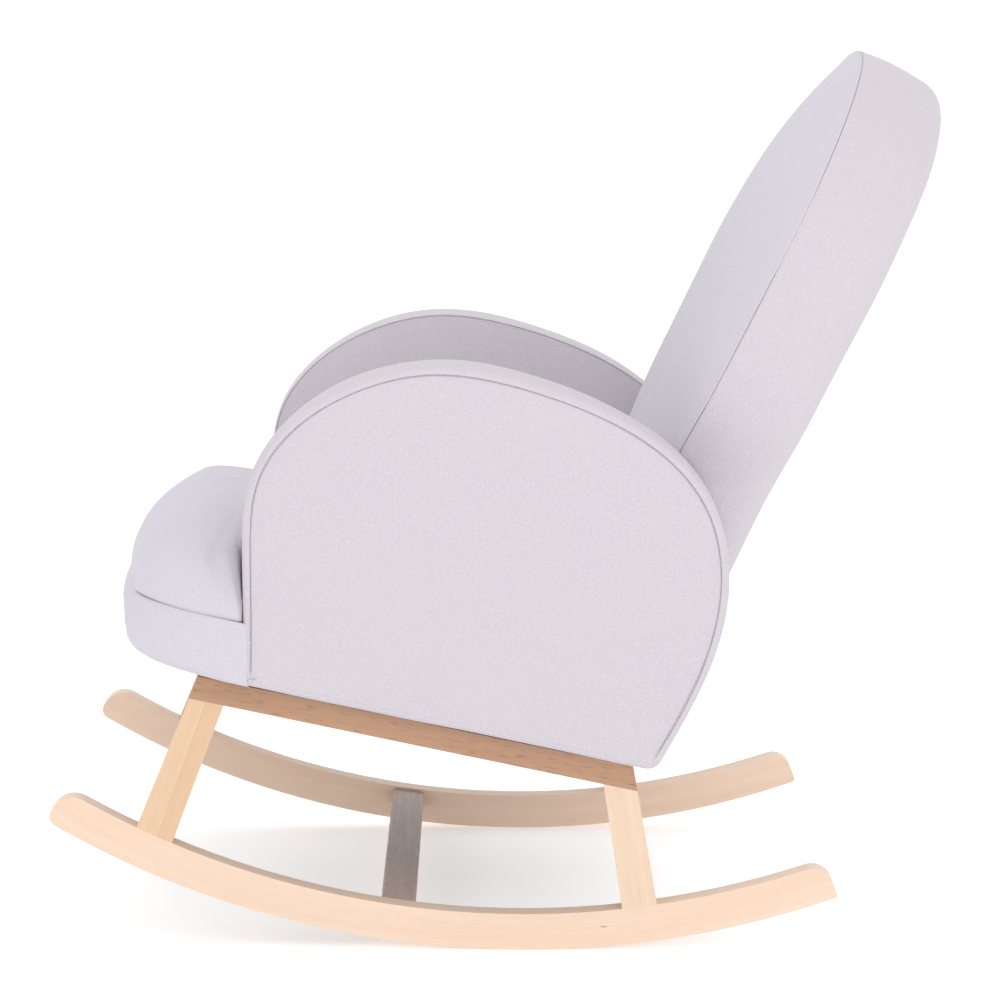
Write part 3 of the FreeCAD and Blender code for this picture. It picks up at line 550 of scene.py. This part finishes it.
def paint_frame():
    """Better materials for the CAD nodes that stay in sight or inside."""
    front_tilt, front_middle = leg_axis("front_leg_left")
    rear_tilt = leg_axis("rear_leg_left")[0]
    across = (0.0, math.cos(front_tilt), -math.sin(front_tilt))
    fleck_at = (ROCKER_HIGH.x, 0.30 * ROCKER_HIGH.y, 0.026)
    pale, warm = srgb(229, 204, 184), srgb(218, 185, 158)
    woods = {
        "rocker_wood": wood("rocker_wood", pale, warm, "Y", bent=True, fleck=fleck_at),
        "front_leg": wood("front_leg_wood", srgb(220, 189, 157), srgb(206, 169, 136), "Z",
                          turn=front_tilt, split=(front_middle, across, (0.93, 0.87, 0.82))),
        "rear_leg": wood("rear_leg_wood", srgb(224, 200, 176), srgb(212, 180, 152), "Z", turn=rear_tilt),
        # rail tones darker than the other woods: wood colour deepened with painted shade of the body that
        # overhangs the rail; the open pores are the wood's own grain
        "rail_wood": wood("rail_wood", srgb(186, 147, 116), srgb(152, 110, 82), "Y", pores=0.75,
                          turn=SEAT_TILT, ring_size=0.016),
        # greyish, darker stretcher tones: painted shade of the seat above the stretcher; the open pores are
        # the wood's own grain
        "stretcher_wood": wood("stretcher_wood", srgb(186, 160, 150), srgb(140, 112, 100), "X",
                               pores=0.6, ring_size=0.009),
        "dowel_wood": wood("dowel_wood", srgb(222, 190, 150), srgb(200, 164, 122), "Z"),
        "frame_timber": wood("frame_timber", srgb(226, 196, 150), srgb(196, 156, 106), "X", pores=0.3),
        "plywood": wood("plywood", srgb(224, 194, 152), srgb(198, 160, 116), "Z", ring_size=0.02),
        "black_strip": plain_metal("black_strip", (0.012, 0.012, 0.013), 0.5, 0.0),
        "zinc_steel": plain_metal("zinc_steel", (0.55, 0.55, 0.53), 0.32, 1.0),
        "spring_steel": plain_metal("spring_steel", (0.16, 0.16, 0.17), 0.38, 1.0),
        "webbing": fleece("webbing", (0.10, 0.085, 0.07)),
        "felt_pad": fleece("felt_pad", (0.30, 0.29, 0.27)),
        "foam": spongy("foam", (0.80, 0.74, 0.52), 0.0014),
        "woven_fabric": woven("cover_inside", *FABRIC_TONES, (1, 1, 0.6)),
        "black_lining": fleece("black_lining", (0.010, 0.010, 0.011)),
    }
    slots = {p["node"]: p["material_slot"] for p in frame["record"]["subparts"]}
    for node, obj in frame["nodes"].items():
        key = node.rsplit("_", 1)[0] if slots[node] == "leg_wood" else slots[node]
        obj.data.materials.clear()
        obj.data.materials.append(woods[key])


def dress(obj, material):
    obj.data.materials.clear()
    obj.data.materials.append(material)
    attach(obj, "root")


FABRIC_TONES = (srgb(209, 204, 210), srgb(197, 191, 198))
SIDE_FABRIC = woven("woven_fabric_side", *FABRIC_TONES, (1.0, 1.0, 0.55))
TOP_FABRIC = woven("woven_fabric_band", srgb(211, 207, 216), srgb(199, 195, 204), (1.0, 0.8, 0.8))
SEAM_THREAD = thread("seam_thread", srgb(190, 178, 182))


# ---- arms --------------------------------------------------------------------------------
ARM_CROWN = [(-261, 372), (-261, 440), (-250, 525), (-213, 578), (-146, 621), (-61, 641),
             (40, 626), (130, 592), (200, 546), (242, 490), (258, 405), (235, 306)]
ARM_FOOT_U = (49.0, 502.0)
ARM_STEPS = 1080
ARM_ROUND = 9.0                    # rounding from the band to the outer panel
ARM_SEAM_IN = 8.5                  # outer seam inside the arm's silhouette
GROOVE = 1.3                       # depth of a sewn seam
PUFF = 1.6                         # a panel's padding above its seam
PUFF_REACH = 16.0
RIB_PITCH = 6.5
RIB_HEIGHT = 0.16


ARM_STITCH = (0.0030, 0.0015, 0.0006, 0.0010)     # length, gap, thread and depth, in metres


def arm_outline():
    """Closed side view of the arm in mm, from its front foot over the crown and back along the base."""
    foot, heel = rail_point(ARM_FOOT_U[0], BODY_BASE), rail_point(ARM_FOOT_U[1], BODY_BASE)
    crown = smooth_line([foot] + ARM_CROWN + [heel], 500)
    toe = rounded_corner(heel, foot, crown[20], 5.0)
    rear = rounded_corner(crown[-14], heel, foot, 16.0)
    body = [p for p in crown if np.linalg.norm(p - foot) > 8 and np.linalg.norm(p - heel) > 24]
    return resampled(list(toe) + body + list(rear), ARM_STEPS, closed=True)


def pull_ribs(outline, inset, start, end):
    """Fine gathers square to the seam, strongest over the rear of the crown."""
    step = np.linalg.norm(np.roll(outline, -1, axis=0) - outline, axis=1)
    run = np.cumsum(step)
    y, z = outline[:, 0], outline[:, 1]
    rear = smoothstep((y - 60) / 90) * smoothstep((z - 255) / 60)
    fade = smoothstep((inset - start) / 5) * smoothstep((end - inset) / (end - start - 6))
    uneven = 0.65 + 0.35 * np.sin(run / 23.0) * np.sin(run / 57.0 + 1.0)
    return RIB_HEIGHT * rear * fade * uneven * np.cos(2 * math.pi * run / RIB_PITCH)


def relaxed(ring, window):
    """Closed ring averaged along itself over a window of points."""
    if window < 1:
        return ring
    kernel = np.hanning(2 * window + 3)[1:-1]
    kernel /= kernel.sum()
    wrapped = np.vstack([ring[-window:], ring, ring[:window]])
    return np.stack([np.convolve(wrapped[:, i], kernel, "valid") for i in range(2)], axis=1)


def pulled_in(outline, away, centre, inset):
    """The outline pulled in towards its centre by an inset, without crossings at its corners."""
    to_centre = centre - outline
    to_centre /= np.linalg.norm(to_centre, axis=1)[:, None]
    inward = relaxed(to_centre / np.clip(-(to_centre * away).sum(1), 0.6, 1.0)[:, None], 12)
    return relaxed(outline + inward * inset, int(inset * 0.5))


def sewn_share(outline):
    """1 where the panel is sewn to the band, 0 along the base, where the cloth runs on underneath."""
    top = RAIL_FRONT[1] - (outline[:, 0] - RAIL_FRONT[0]) * math.tan(SEAT_TILT)
    return smoothstep((outline[:, 1] - top - 9.0) / 14.0)


def panel_rows(outline, outward_n, seam_in, face_x, sign, centre, ribs):
    """Rows of a side panel from its seam to its middle; x in mm, sign is the way it faces."""
    rows = []
    sewn = sewn_share(outline)
    to_centre = centre - outline
    to_centre /= np.linalg.norm(to_centre, axis=1)[:, None]
    inward = to_centre / np.clip(-(to_centre * outward_n).sum(1), 0.45, 1.0)[:, None]
    inward = relaxed(inward, 30)
    start = outline - outward_n * seam_in
    for inset in (0.0, 0.5, 1.1, 1.8, 3.0, 4.5, 7.0, 10.0, 14.0, 18.0, 23.0, 28.0):
        ring = relaxed(start + inward * inset, int(inset * 1.6))
        rise = -GROOVE * (1 - smoothstep(inset / 1.6)) - PUFF * (1 - smoothstep(inset / PUFF_REACH))
        lift = pull_ribs(outline, inset, 0.5, 27.0) if ribs else 0.0
        rows.append((ring, face_x + sign * (rise * sewn + lift)))
    inner = rows[-1][0]
    for share in np.linspace(0.93, 0.0, 26)[:-1]:
        ring = relaxed(centre + (inner - centre) * share, 48)
        rows.append((ring, face_x + sign * 0.0))
    return rows


def build_arm(side, sign):
    """Padded arm: outer panel, band over the crown, inner panel, sewn together along two seams."""
    outline = arm_outline()
    away = normals_of(outline)
    centre = np.array([outline[:, 0].mean(), outline[:, 1].mean() - 30.0])
    out_x, in_x = ARM_OUT * 1000.0, ARM_IN * 1000.0
    rows = panel_rows(outline, away, ARM_SEAM_IN, out_x, 1.0, centre, True)[::-1]
    band = [(ARM_SEAM_IN - 0.6, -0.4), (ARM_SEAM_IN - 1.4, -0.05)]
    for turn in (15, 35, 55, 75, 90):
        angle = math.radians(turn)
        band.append(((ARM_SEAM_IN - 1.4) * (1 - math.sin(angle)), -ARM_ROUND * (1 - math.cos(angle))))
    width = out_x - in_x
    for k in range(1, 22):
        share = k / 22
        crown = -1.2 * math.sin(math.pi * share)
        band.append((crown, -ARM_ROUND - share * (width - ARM_ROUND - 3.0)))
    band += [(0.3, -width + 2.0), (0.9, -width + 1.2), (1.3, -width + 1.3)]
    for inset, x in band:
        rows.append((outline - away * inset, out_x + x))
    rows += panel_rows(outline, away, 1.8, in_x, -1.0, centre, False)
    out = []
    for ring, x in rows:
        x = np.broadcast_to(x, (len(ring),)) / 1000.0 * sign
        out.append(np.stack([x, ring[:, 0] / 1000 + DATUM_Y, ring[:, 1] / 1000], axis=1))
    arm = loft("arm_" + side, out)
    outward(arm)
    seam = outline - away * ARM_SEAM_IN
    seam_path = np.stack([np.full(len(seam), sign * (ARM_OUT - 0.0004)),
                          seam[:, 0] / 1000 + DATUM_Y, seam[:, 1] / 1000], axis=1)
    inner = outline - away * 1.6
    inner_path = np.stack([np.full(len(inner), sign * (ARM_IN + 0.0006)),
                           inner[:, 0] / 1000 + DATUM_Y, inner[:, 1] / 1000], axis=1)
    return arm, seam_path, inner_path


def held_on(paths, reach):
    return lambda points: near_path(points, np.vstack(paths), reach)


def build_arms():
    for side, sign in (("left", 1.0), ("right", -1.0)):
        arm, seam_path, inner_path = build_arm(side, sign)
        base = resampled(seam_path[::4], 200, closed=True)
        inner = resampled(inner_path[::4], 200, closed=True)
        puff(arm, 0.006, 0.004, held_on([base, inner], 0.02))
        swell(arm, 0.16, 0.0005, 3)
        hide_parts("arm_cover_" + side, "arm_foam_" + side)
        dress(arm, SIDE_FABRIC)
        share = sewn_share(arm_outline())
        first = int(np.argmax((share > 0.9) & (np.roll(share, 1) <= 0.9)))
        upper = [p for p, on in zip(np.roll(seam_path, -first, axis=0), np.roll(share, -first)) if on > 0.9]
        row_of = stitches("arm_stitches_" + side, np.array(upper), *ARM_STITCH,
                          lambda p, s=sign: np.array((s, 0.0, 0.0)))
        dress(row_of, SEAM_THREAD)


# ---- backrest ----------------------------------------------------------------------------
BACK_TILT = math.radians(26.5)
BACK_ORIGIN = (216.0, 555.0)
BACK_HALF, BACK_WAIST, BACK_TOP = 265.0, 229.5, 457.0
BACK_BULGE_S, BACK_BOTTOM = 228.0, -208.0
BACK_THICK = 112.0
BACK_CROWN = 44.0
BACK_STEPS = 560
BACK_STITCH = (0.0032, 0.0022, 0.0008, -0.0002)   # the same for the panel behind
BACK_CENTRE = (0.0, 150.0)
FRONT_ROWS = 47                    # rows of the front panel, up to the bottom of its seam


def back_row(x, t, s):
    """Back frame in mm (t through the back, s up the seam plane) to the row frame."""
    y = BACK_ORIGIN[0] + t * math.cos(BACK_TILT) + s * math.sin(BACK_TILT)
    z = BACK_ORIGIN[1] - t * math.sin(BACK_TILT) + s * math.cos(BACK_TILT)
    return np.stack([x / 1000.0, y / 1000.0 + DATUM_Y, z / 1000.0], axis=-1)


def back_outline():
    """Closed front view in mm: arch, shoulders above the arms, waist between them."""
    flank = [(BACK_WAIST, BACK_BOTTOM), (BACK_WAIST, -120.0), (BACK_WAIST, -12.0), (BACK_WAIST + 21, 45.0),
             (BACK_HALF - 3, 130.0), (BACK_HALF, BACK_BULGE_S)]
    rise = BACK_TOP - BACK_BULGE_S
    arch = []
    for k in range(1, 24):
        turn = math.radians(7.5 * k)
        arch.append((BACK_HALF * math.cos(turn), BACK_BULGE_S + rise * math.sin(turn)))
    whole = flank + arch + [(-x, s) for x, s in flank[::-1]]
    line = smooth_line(whole, 700)
    corner_r = rounded_corner(line[6], line[0], line[-1], 12.0)
    corner_l = rounded_corner(line[0], line[-1], line[-7], 12.0)
    line = [p for p in line if p[1] > BACK_BOTTOM + 13]
    return resampled(list(corner_r)[::-1] + line + list(corner_l)[::-1], BACK_STEPS, closed=True)


def dome(ring, outline_share):
    """How far the front stands out of the seam plane: a full dome that eases towards the arch."""
    s = ring[:, 1]
    lift = 1 - np.clip(outline_share, 0, 1) ** 2.9
    upper = np.interp(s, [-220, -40, 60, 200, 300, 400, 457], [0.75, 0.9, 1.0, 1.0, 0.97, 0.88, 0.8])
    return BACK_CROWN * lift ** 0.85 * upper


def build_back():
    outline = back_outline()[::-1]
    away = normals_of(outline)
    if (away * (outline - np.array(BACK_CENTRE))).sum() < 0:
        away = -away
    centre = np.array(BACK_CENTRE)
    rows = []
    for share in np.linspace(0.02, 0.985, 44):
        ring = relaxed(centre + (outline - away * 1.2 - centre) * share, int(30 * (1 - share)))
        rows.append(back_row(ring[:, 0], -dome(ring, np.full(len(ring), share)), ring[:, 1]))
    for inset, t in ((1.9, -2.0), (1.3, -1.0), (1.5, -0.4), (3.2, 0.0), (3.2, 0.4), (1.3, 0.7),
                     (0.5, 1.3), (0.1, 2.4), (-0.2, 6.0)):
        ring = outline - away * inset
        rows.append(back_row(ring[:, 0], np.full(len(ring), t), ring[:, 1]))
    depth = BACK_THICK - 34.0
    for k in range(1, 18):
        share = k / 17
        ring = outline + away * (0.2 + 2.6 * math.sin(math.pi * share) * (1 - 0.3 * share))
        rows.append(back_row(ring[:, 0], np.full(len(ring), 6.0 + share * (depth - 6.0)), ring[:, 1]))
    for turn in (12, 25, 38, 51, 64, 77):
        angle = math.radians(turn)
        ring = pulled_in(outline, away, centre, 34.0 * (1 - math.cos(angle)))
        rows.append(back_row(ring[:, 0], np.full(len(ring), depth + 34.0 * math.sin(angle)), ring[:, 1]))
    for inset, t in ((30.0, -1.0), (31.5, -2.2), (32.4, -2.2), (33.5, -1.0), (36.0, -0.2), (42.0, 0.0)):
        ring = pulled_in(outline, away, centre, inset)
        rows.append(back_row(ring[:, 0], np.full(len(ring), BACK_THICK + t), ring[:, 1]))
    inner = pulled_in(outline, away, centre, 42.0)
    for share in np.linspace(0.95, 0.02, 26):
        ring = relaxed(centre + (inner - centre) * share, 26)
        rows.append(back_row(ring[:, 0], np.full(len(ring), BACK_THICK + 1.5 * (1 - share)), ring[:, 1]))
    back = loft("backrest", rows)
    outward(back)
    seam = back_row(outline[:, 0], np.zeros(len(outline)), outline[:, 1])
    ring = pulled_in(outline, away, centre, 32.0)
    rear_seam = back_row(ring[:, 0], np.full(len(ring), BACK_THICK - 2.0), ring[:, 1])
    return back, seam, rear_seam


def finish_back():
    back, seam, rear_seam = build_back()
    puff(back, 0.006, 0.009, held_on([seam[::3], rear_seam[::3]], 0.03))
    swell(back, 0.22, 0.0008, 5)
    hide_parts("back_cover", "back_foam", "outside_back_panel")
    dress(back, SIDE_FABRIC)
    back.data.materials.append(TOP_FABRIC)
    cap = len(back.data.polygons) - 2
    front = [f.index < FRONT_ROWS * BACK_STEPS or f.index == cap for f in back.data.polygons]
    back.data.polygons.foreach_set("material_index", np.array(front, dtype=np.int32))
    shown = np.array([p for p in rear_seam if p[2] > 0.44])
    order = np.argsort(np.arctan2(shown[:, 2] - 0.7, shown[:, 0]))
    tacks = stitches("back_panel_stitches", shown[order][1:-1], *BACK_STITCH,
                     lambda p: np.array((0.0, math.cos(BACK_TILT), -math.sin(BACK_TILT))))
    dress(tacks, SEAM_THREAD)


# ---- seat cushion and front band ---------------------------------------------------------
CUSHION_SIDE = 305.0               # the ears, seen in plan
CUSHION_REAR_DIP = 30.0            # the backrest presses the rear edge in
EAR_REAR_Y = -261.0                # the ears press against the arms' rounded front edges
SPINE_FRONT_Y = -325.0
ROLL = [(0, 0), (1, 9), (3, 18), (8, 30), (15, 43), (30, 65), (48, 84), (75, 101), (106, 112),
        (150, 118), (400, 120)]    # height above the seam by distance from the free edges
WALL = [(0, 0), (1, 26), (3, 50), (8, 84), (16, 112), (30, 135), (60, 160), (400, 220)]
CROWN_TOP, CROWN_FALL = 117.0, 0.29


def cushion_plan():
    """Closed plan of the T cushion in mm and, for each point, whether it lies against a neighbour."""
    front = [p for p in band_plan(460) if p[1] < EAR_REAR_Y - 9.0]
    front = [(x * CUSHION_SIDE / BAND_HALF, y + 3.0) for x, y in front]
    rear_y = (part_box("seat_cover")[1].y - DATUM_Y) * 1000.0 - 4.0
    inner = ARM_IN * 1000.0 - 0.6
    corner = rounded_corner(front[1], (CUSHION_SIDE, EAR_REAR_Y), (inner, EAR_REAR_Y), 7.0)
    ear = [(inner + 14.0, EAR_REAR_Y), (inner + 5.0, EAR_REAR_Y + 1.5), (inner, EAR_REAR_Y + 8.0)]
    side = [tuple(p) for p in corner[::-1]][::-1] + ear + [(inner, rear_y)]
    rear = [(x, rear_y - CUSHION_REAR_DIP * (1 - (x / inner) ** 2)) for x in np.linspace(inner, 0, 14)[1:-1]]
    half = list(front[:len(front) // 2][::-1]) + side + rear
    half = resampled(half, 420)
    half[0, 0] = 0.0
    whole = np.vstack([half, (half * (-1, 1))[::-1][:-1]])
    against = (whole[:, 1] > EAR_REAR_Y - 3.0) & (np.abs(whole[:, 0]) < CUSHION_SIDE - 6.0)
    return whole, against


def nearest(points, targets):
    tree = kdtree.KDTree(len(targets))
    for index, spot in enumerate(targets):
        tree.insert((spot[0], spot[1], 0.0), index)
    tree.balance()
    return np.array([tree.find((p[0], p[1], 0.0))[2] for p in points])


def table(distance, spots):
    """Smooth table look-up over the root of the distance, so that edges start square."""
    at = np.sqrt(np.maximum(distance, 0.0))
    return np.interp(at, [math.sqrt(d) for d, _ in spots], [h for _, h in spots])


def build_cushion():
    """T cushion: upright front with a large roll, ears that roll down beside the arms' fronts."""
    plan, against = cushion_plan()
    spine = np.zeros_like(plan)
    spine[:, 1] = np.clip(plan[:, 1], SPINE_FRONT_Y, plan[:, 1].max() - 90.0)
    blend = smoothstep((plan[:, 1] - EAR_REAR_Y + 2.0) / 120.0)
    spine[:, 1] = SPINE_FRONT_Y + (spine[:, 1] - SPINE_FRONT_Y) * blend
    reach = np.linalg.norm(spine - plan, axis=1)[:, None]
    steps = [0.0, 0.4, 1.0, 2.0, 3.3, 5.0, 7.5, 10.5, 14.0, 18.0, 22.5, 27.5, 33.0, 39.0, 46.0, 54.0]
    rings = [plan + (spine - plan) / reach * d for d in steps]
    rest = rings[-1]
    rings += [rest + (spine - rest) * share for share in np.linspace(0, 1, 34)[1:]]
    edge_free, edge_held = plan[~against], plan[against]
    rows = []
    for inset in (60.0, 20.0, 6.0, 1.5):
        ring = plan + (spine - plan) / reach * inset
        rows.append(seam_level(ring, np.full(len(ring), -1.2)))
    for ring in rings:
        free = table(nearest(ring, edge_free), ROLL)
        wall = table(nearest(ring, edge_held), WALL)
        crown = CROWN_TOP * (1 - CROWN_FALL * np.clip(np.abs(ring[:, 0]) / (ARM_IN * 1000), 0, 1.4) ** 2.2)
        parts = [np.maximum(h, 0.02) for h in (free, wall, crown)]
        height = sum(h ** -5.0 for h in parts) ** -0.2
        rows.append(seam_level(ring, height))
    cushion = loft("seat_cushion", rows)
    outward(cushion)
    edge = seam_level(plan, np.full(len(plan), 0.0))
    walls = [seam_level(plan[against], np.full(int(against.sum()), h)) for h in (0.0, 25.0, 50.0, 75.0)]
    puff(cushion, 0.006, 0.007, held_on([edge] + walls, 0.022))
    swell(cushion, 0.2, 0.001, 11)
    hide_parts("seat_cover", "seat_foam")
    dress(cushion, TOP_FABRIC)


def seam_level(ring, height):
    """Plan points in mm at a height over the cushion's seam plane, in the row frame."""
    z = RAIL_FRONT[1] - (ring[:, 1] - RAIL_FRONT[0]) * math.tan(SEAT_TILT) + SEAM_W / math.cos(SEAT_TILT)
    return np.stack([ring[:, 0] / 1000, ring[:, 1] / 1000 + DATUM_Y, (z + height) / 1000], axis=1)


BAND_HALF = 308.5
BAND_REAR_Y = -255.0
BAND_CORNER = 85.0
BAND_SIDE_Y, BAND_MIDDLE_Y = -388.0, -406.0


def band_plan(count):
    """Open plan line of the front band in mm, from the left arm's seam round the bow to the right."""
    half = BAND_HALF
    corner_x = half - BAND_CORNER
    side = []
    for k in range(0, 19):
        turn = math.radians(90.0 * k / 18)
        side.append((corner_x + BAND_CORNER * math.cos(turn),
                     BAND_SIDE_Y + BAND_CORNER - BAND_CORNER * math.sin(turn)))
    bow = [(x, BAND_MIDDLE_Y + (BAND_SIDE_Y - BAND_MIDDLE_Y) * (x / corner_x) ** 2)
           for x in np.linspace(corner_x * 0.9, -corner_x * 0.9, 19)]
    left = [(half, BAND_REAR_Y)] + side
    whole = left + bow + [(-x, y) for x, y in left[::-1]]
    return resampled(whole, count)


def build_band():
    """Padded band under the cushion, rolled under at its lower edge and tucked in at the top."""
    plan = band_plan(640)
    ahead = np.gradient(plan, axis=0)
    ahead /= np.linalg.norm(ahead, axis=1)[:, None]
    away = np.stack([-ahead[:, 1], ahead[:, 0]], axis=1)
    if away[len(away) // 2, 1] > 0:
        away = -away
    ends = np.minimum(np.arange(len(plan)), np.arange(len(plan))[::-1]) * 2.2
    tuck = np.exp(-(ends / 2.0) ** 2) * 2.2
    profile = [(-40.0, SEAM_W - 1.5), (-24.0, SEAM_W - 1.0), (-14.0, SEAM_W - 0.8), (-9.0, SEAM_W - 1.2)]
    for turn in (20, 45, 70, 90):
        angle = math.radians(turn)
        profile.append((-9.0 + 6.0 * math.sin(angle), SEAM_W - 7.0 + 6.0 * math.cos(angle)))
    for k in range(1, 15):
        share = k / 15
        profile.append((-3.0 + 8.5 * math.sin(math.pi * 0.62 * share) ** 0.9, SEAM_W - 7.0 - share * 43.0))
    low_out = profile[-1][0]
    for turn in (12, 26, 40, 54, 68, 80, 90):
        angle = math.radians(turn)
        profile.append((low_out - 22.0 * (1 - math.cos(angle)), BODY_BASE + 18.0 * (1 - math.sin(angle))))
    profile += [(low_out - 30.0, BODY_BASE + 0.2), (low_out - 48.0, BODY_BASE + 1.0)]
    rows = []
    front_share = smoothstep((-plan[:, 1] - 262.0) / 70.0)
    for out, w in profile:
        out_here = out * front_share + min(out, 0.0) * 0.25 * (1 - front_share) - tuck
        ring = plan + away * out_here[:, None]
        u_y = ring[:, 1]
        z = RAIL_FRONT[1] - (u_y - RAIL_FRONT[0]) * math.tan(SEAT_TILT) + w / math.cos(SEAT_TILT)
        rows.append(np.stack([ring[:, 0] / 1000, ring[:, 1] / 1000 + DATUM_Y, z / 1000], axis=1))
    band = loft("front_band", rows, closed=False, cap_ends=False)
    thick = band.modifiers.new("thick", "SOLIDIFY")
    thick.thickness, thick.offset = 0.005, -1.0
    apply_modifiers(band)
    outward(band)
    return band, [rows[0], rows[3], rows[-4], rows[-1], np.array([r[0] for r in rows]),
                  np.array([r[-1] for r in rows])]


def finish_band():
    band, edges = build_band()
    puff(band, 0.005, 0.006, held_on(edges, 0.018))
    swell(band, 0.12, 0.0008, 7)
    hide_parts("front_band_cover", "front_band_foam")
    dress(band, TOP_FABRIC)


# ---- sheets ------------------------------------------------------------------------------
SKIRT = [(248, 388), (240, 340), (224, 300), (202, 254), (189, 226),
         (180, 210), (169, 204)]


def build_skirt():
    """Fabric pulled down from the backrest to the body's underside, between the arms."""
    line = smooth_line(SKIRT, 50)
    half = ARM_IN * 1000.0 - 0.6
    across = np.linspace(-half, half, 140)
    rows = []
    for index, (y, z) in enumerate(line):
        share = index / (len(line) - 1)
        slack = 1.6 * math.sin(math.pi * share)
        wave = 0.5 * np.sin(across / 23.0) * np.sin(math.pi * share)
        rows.append(np.stack([across / 1000, (y - slack + wave) / 1000 + DATUM_Y,
                              np.full(len(across), z / 1000)], axis=1))
    skirt = loft("rear_skirt_fabric", rows, closed=False, cap_ends=False)
    thick = skirt.modifiers.new("thick", "SOLIDIFY")
    thick.thickness, thick.offset = 0.0016, 0.0
    apply_modifiers(skirt)
    outward(skirt)
    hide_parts("rear_skirt")
    dress(skirt, SIDE_FABRIC)


LINING_HALF = 248.0
LINING_U = (-62.0, 490.0)
LINING_W = 3.1
LINING_CORNER = 75.0


def build_lining():
    """Black lining tacked under the seat frame: sags a little, straight sides, bowed front."""
    columns, lines = 100, 120
    half_here = []
    us = np.linspace(LINING_U[0], LINING_U[1], lines)
    for u in us:
        from_front = u - LINING_U[0]
        cut = 0.0
        if from_front < LINING_CORNER:
            cut = LINING_CORNER - math.sqrt(LINING_CORNER ** 2 - (LINING_CORNER - from_front) ** 2)
        half_here.append(LINING_HALF - cut)
    rows = []
    for u, half in zip(us, half_here):
        x = np.linspace(-half, half, columns)
        sag = 1.2 * np.cos(x / half * math.pi / 2) * math.sin(math.pi * (u - us[0]) / (us[-1] - us[0]))
        y, z = rail_point(u, LINING_W)
        rows.append(np.stack([x / 1000, np.full(columns, y / 1000 + DATUM_Y), (z - sag) / 1000], axis=1))
    lining = loft("dust_lining", rows, closed=False, cap_ends=False)
    thick = lining.modifiers.new("thick", "SOLIDIFY")
    thick.thickness, thick.offset = 0.0008, 0.0
    apply_modifiers(lining)
    outward(lining)
    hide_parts("dust_cover")
    dress(lining, fleece("lining_black", (0.010, 0.010, 0.011)))


# ---- stage -------------------------------------------------------------------------------
CAMERA_AT = (4.048, 0.0, 1.0857)
CAMERA_PITCH = math.radians(8.91)
CAMERA_YAW = math.radians(0.206)
SENSOR = 36.0
LENS = 128.56
FLOOR = 150.0
SKY = 1.07
FLOOR_GLOW = 0.40                  # keeps the shadow on the paper light

# place, aim, size, power in watts, colour
KEY_LIGHT = ((3.2, 0.5, 2.6), (0, 0, 0.5), (2.4, 2.4), 20.0, (1.0, 0.985, 0.975))
TOP_LIGHT = ((-0.2, 0.3, 3.6), (0, 0, 0.4), (2.6, 2.6), 5.0, (0.95, 0.97, 1.0))


def build_camera():
    data = bpy.data.cameras.new("camera")
    data.sensor_width = SENSOR
    data.lens = LENS
    data.clip_end = 400.0
    camera = bpy.data.objects.new("camera", data)
    ahead = Vector((-math.cos(CAMERA_PITCH) * math.cos(CAMERA_YAW),
                    math.cos(CAMERA_PITCH) * math.sin(CAMERA_YAW), -math.sin(CAMERA_PITCH)))
    camera.location = (CAMERA_AT[0], CAMERA_AT[1] + DATUM_Y, CAMERA_AT[2])
    camera.rotation_mode = "QUATERNION"
    camera.rotation_quaternion = ahead.to_track_quat("-Z", "Y")
    bpy.context.scene.collection.objects.link(camera)
    bpy.context.scene.camera = camera


def area_light(name, place, aim, size, power, colour):
    data = bpy.data.lights.new(name, "AREA")
    data.shape = "RECTANGLE"
    data.size, data.size_y = size
    data.energy = power
    data.color = colour
    light = bpy.data.objects.new(name, data)
    light.location = place
    light.rotation_mode = "QUATERNION"
    light.rotation_quaternion = (Vector(aim) - Vector(place)).to_track_quat("-Z", "Y")
    bpy.context.scene.collection.objects.link(light)


def build_stage():
    world = bpy.data.worlds.new("studio")
    bpy.context.scene.world = world
    world.use_nodes = True
    sky = world.node_tree.nodes["Background"]
    sky.inputs["Color"].default_value = (1.0, 1.0, 1.0, 1.0)
    sky.inputs["Strength"].default_value = SKY
    corners = [(-FLOOR, -FLOOR, 0), (FLOOR, -FLOOR, 0), (FLOOR, FLOOR, 0), (-FLOOR, FLOOR, 0)]
    floor = mesh_object("floor", corners, [(0, 1, 2, 3)])
    s = Shader("floor_paper")
    mottle = s.noise(s.place, 3.0, 2.0)
    tint = s.mix(s.span(mottle, 0.3, 0.7), (0.79, 0.79, 0.79), (0.81, 0.81, 0.81))
    s.surface.inputs["Emission Color"].default_value = (1.0, 1.0, 1.0, 1.0)
    s.surface.inputs["Emission Strength"].default_value = FLOOR_GLOW
    floor.data.materials.append(s.finish(tint, 0.9, s.bump(mottle, 0.02, 0.001)))
    area_light("key", *KEY_LIGHT)
    area_light("top", *TOP_LIGHT)
    scene = bpy.context.scene
    scene.view_settings.view_transform = "Standard"
    scene.view_settings.look = "None"


build_camera()
build_stage()
paint_frame()
build_arms()
finish_back()
build_cushion()
finish_band()
build_skirt()
build_lining()
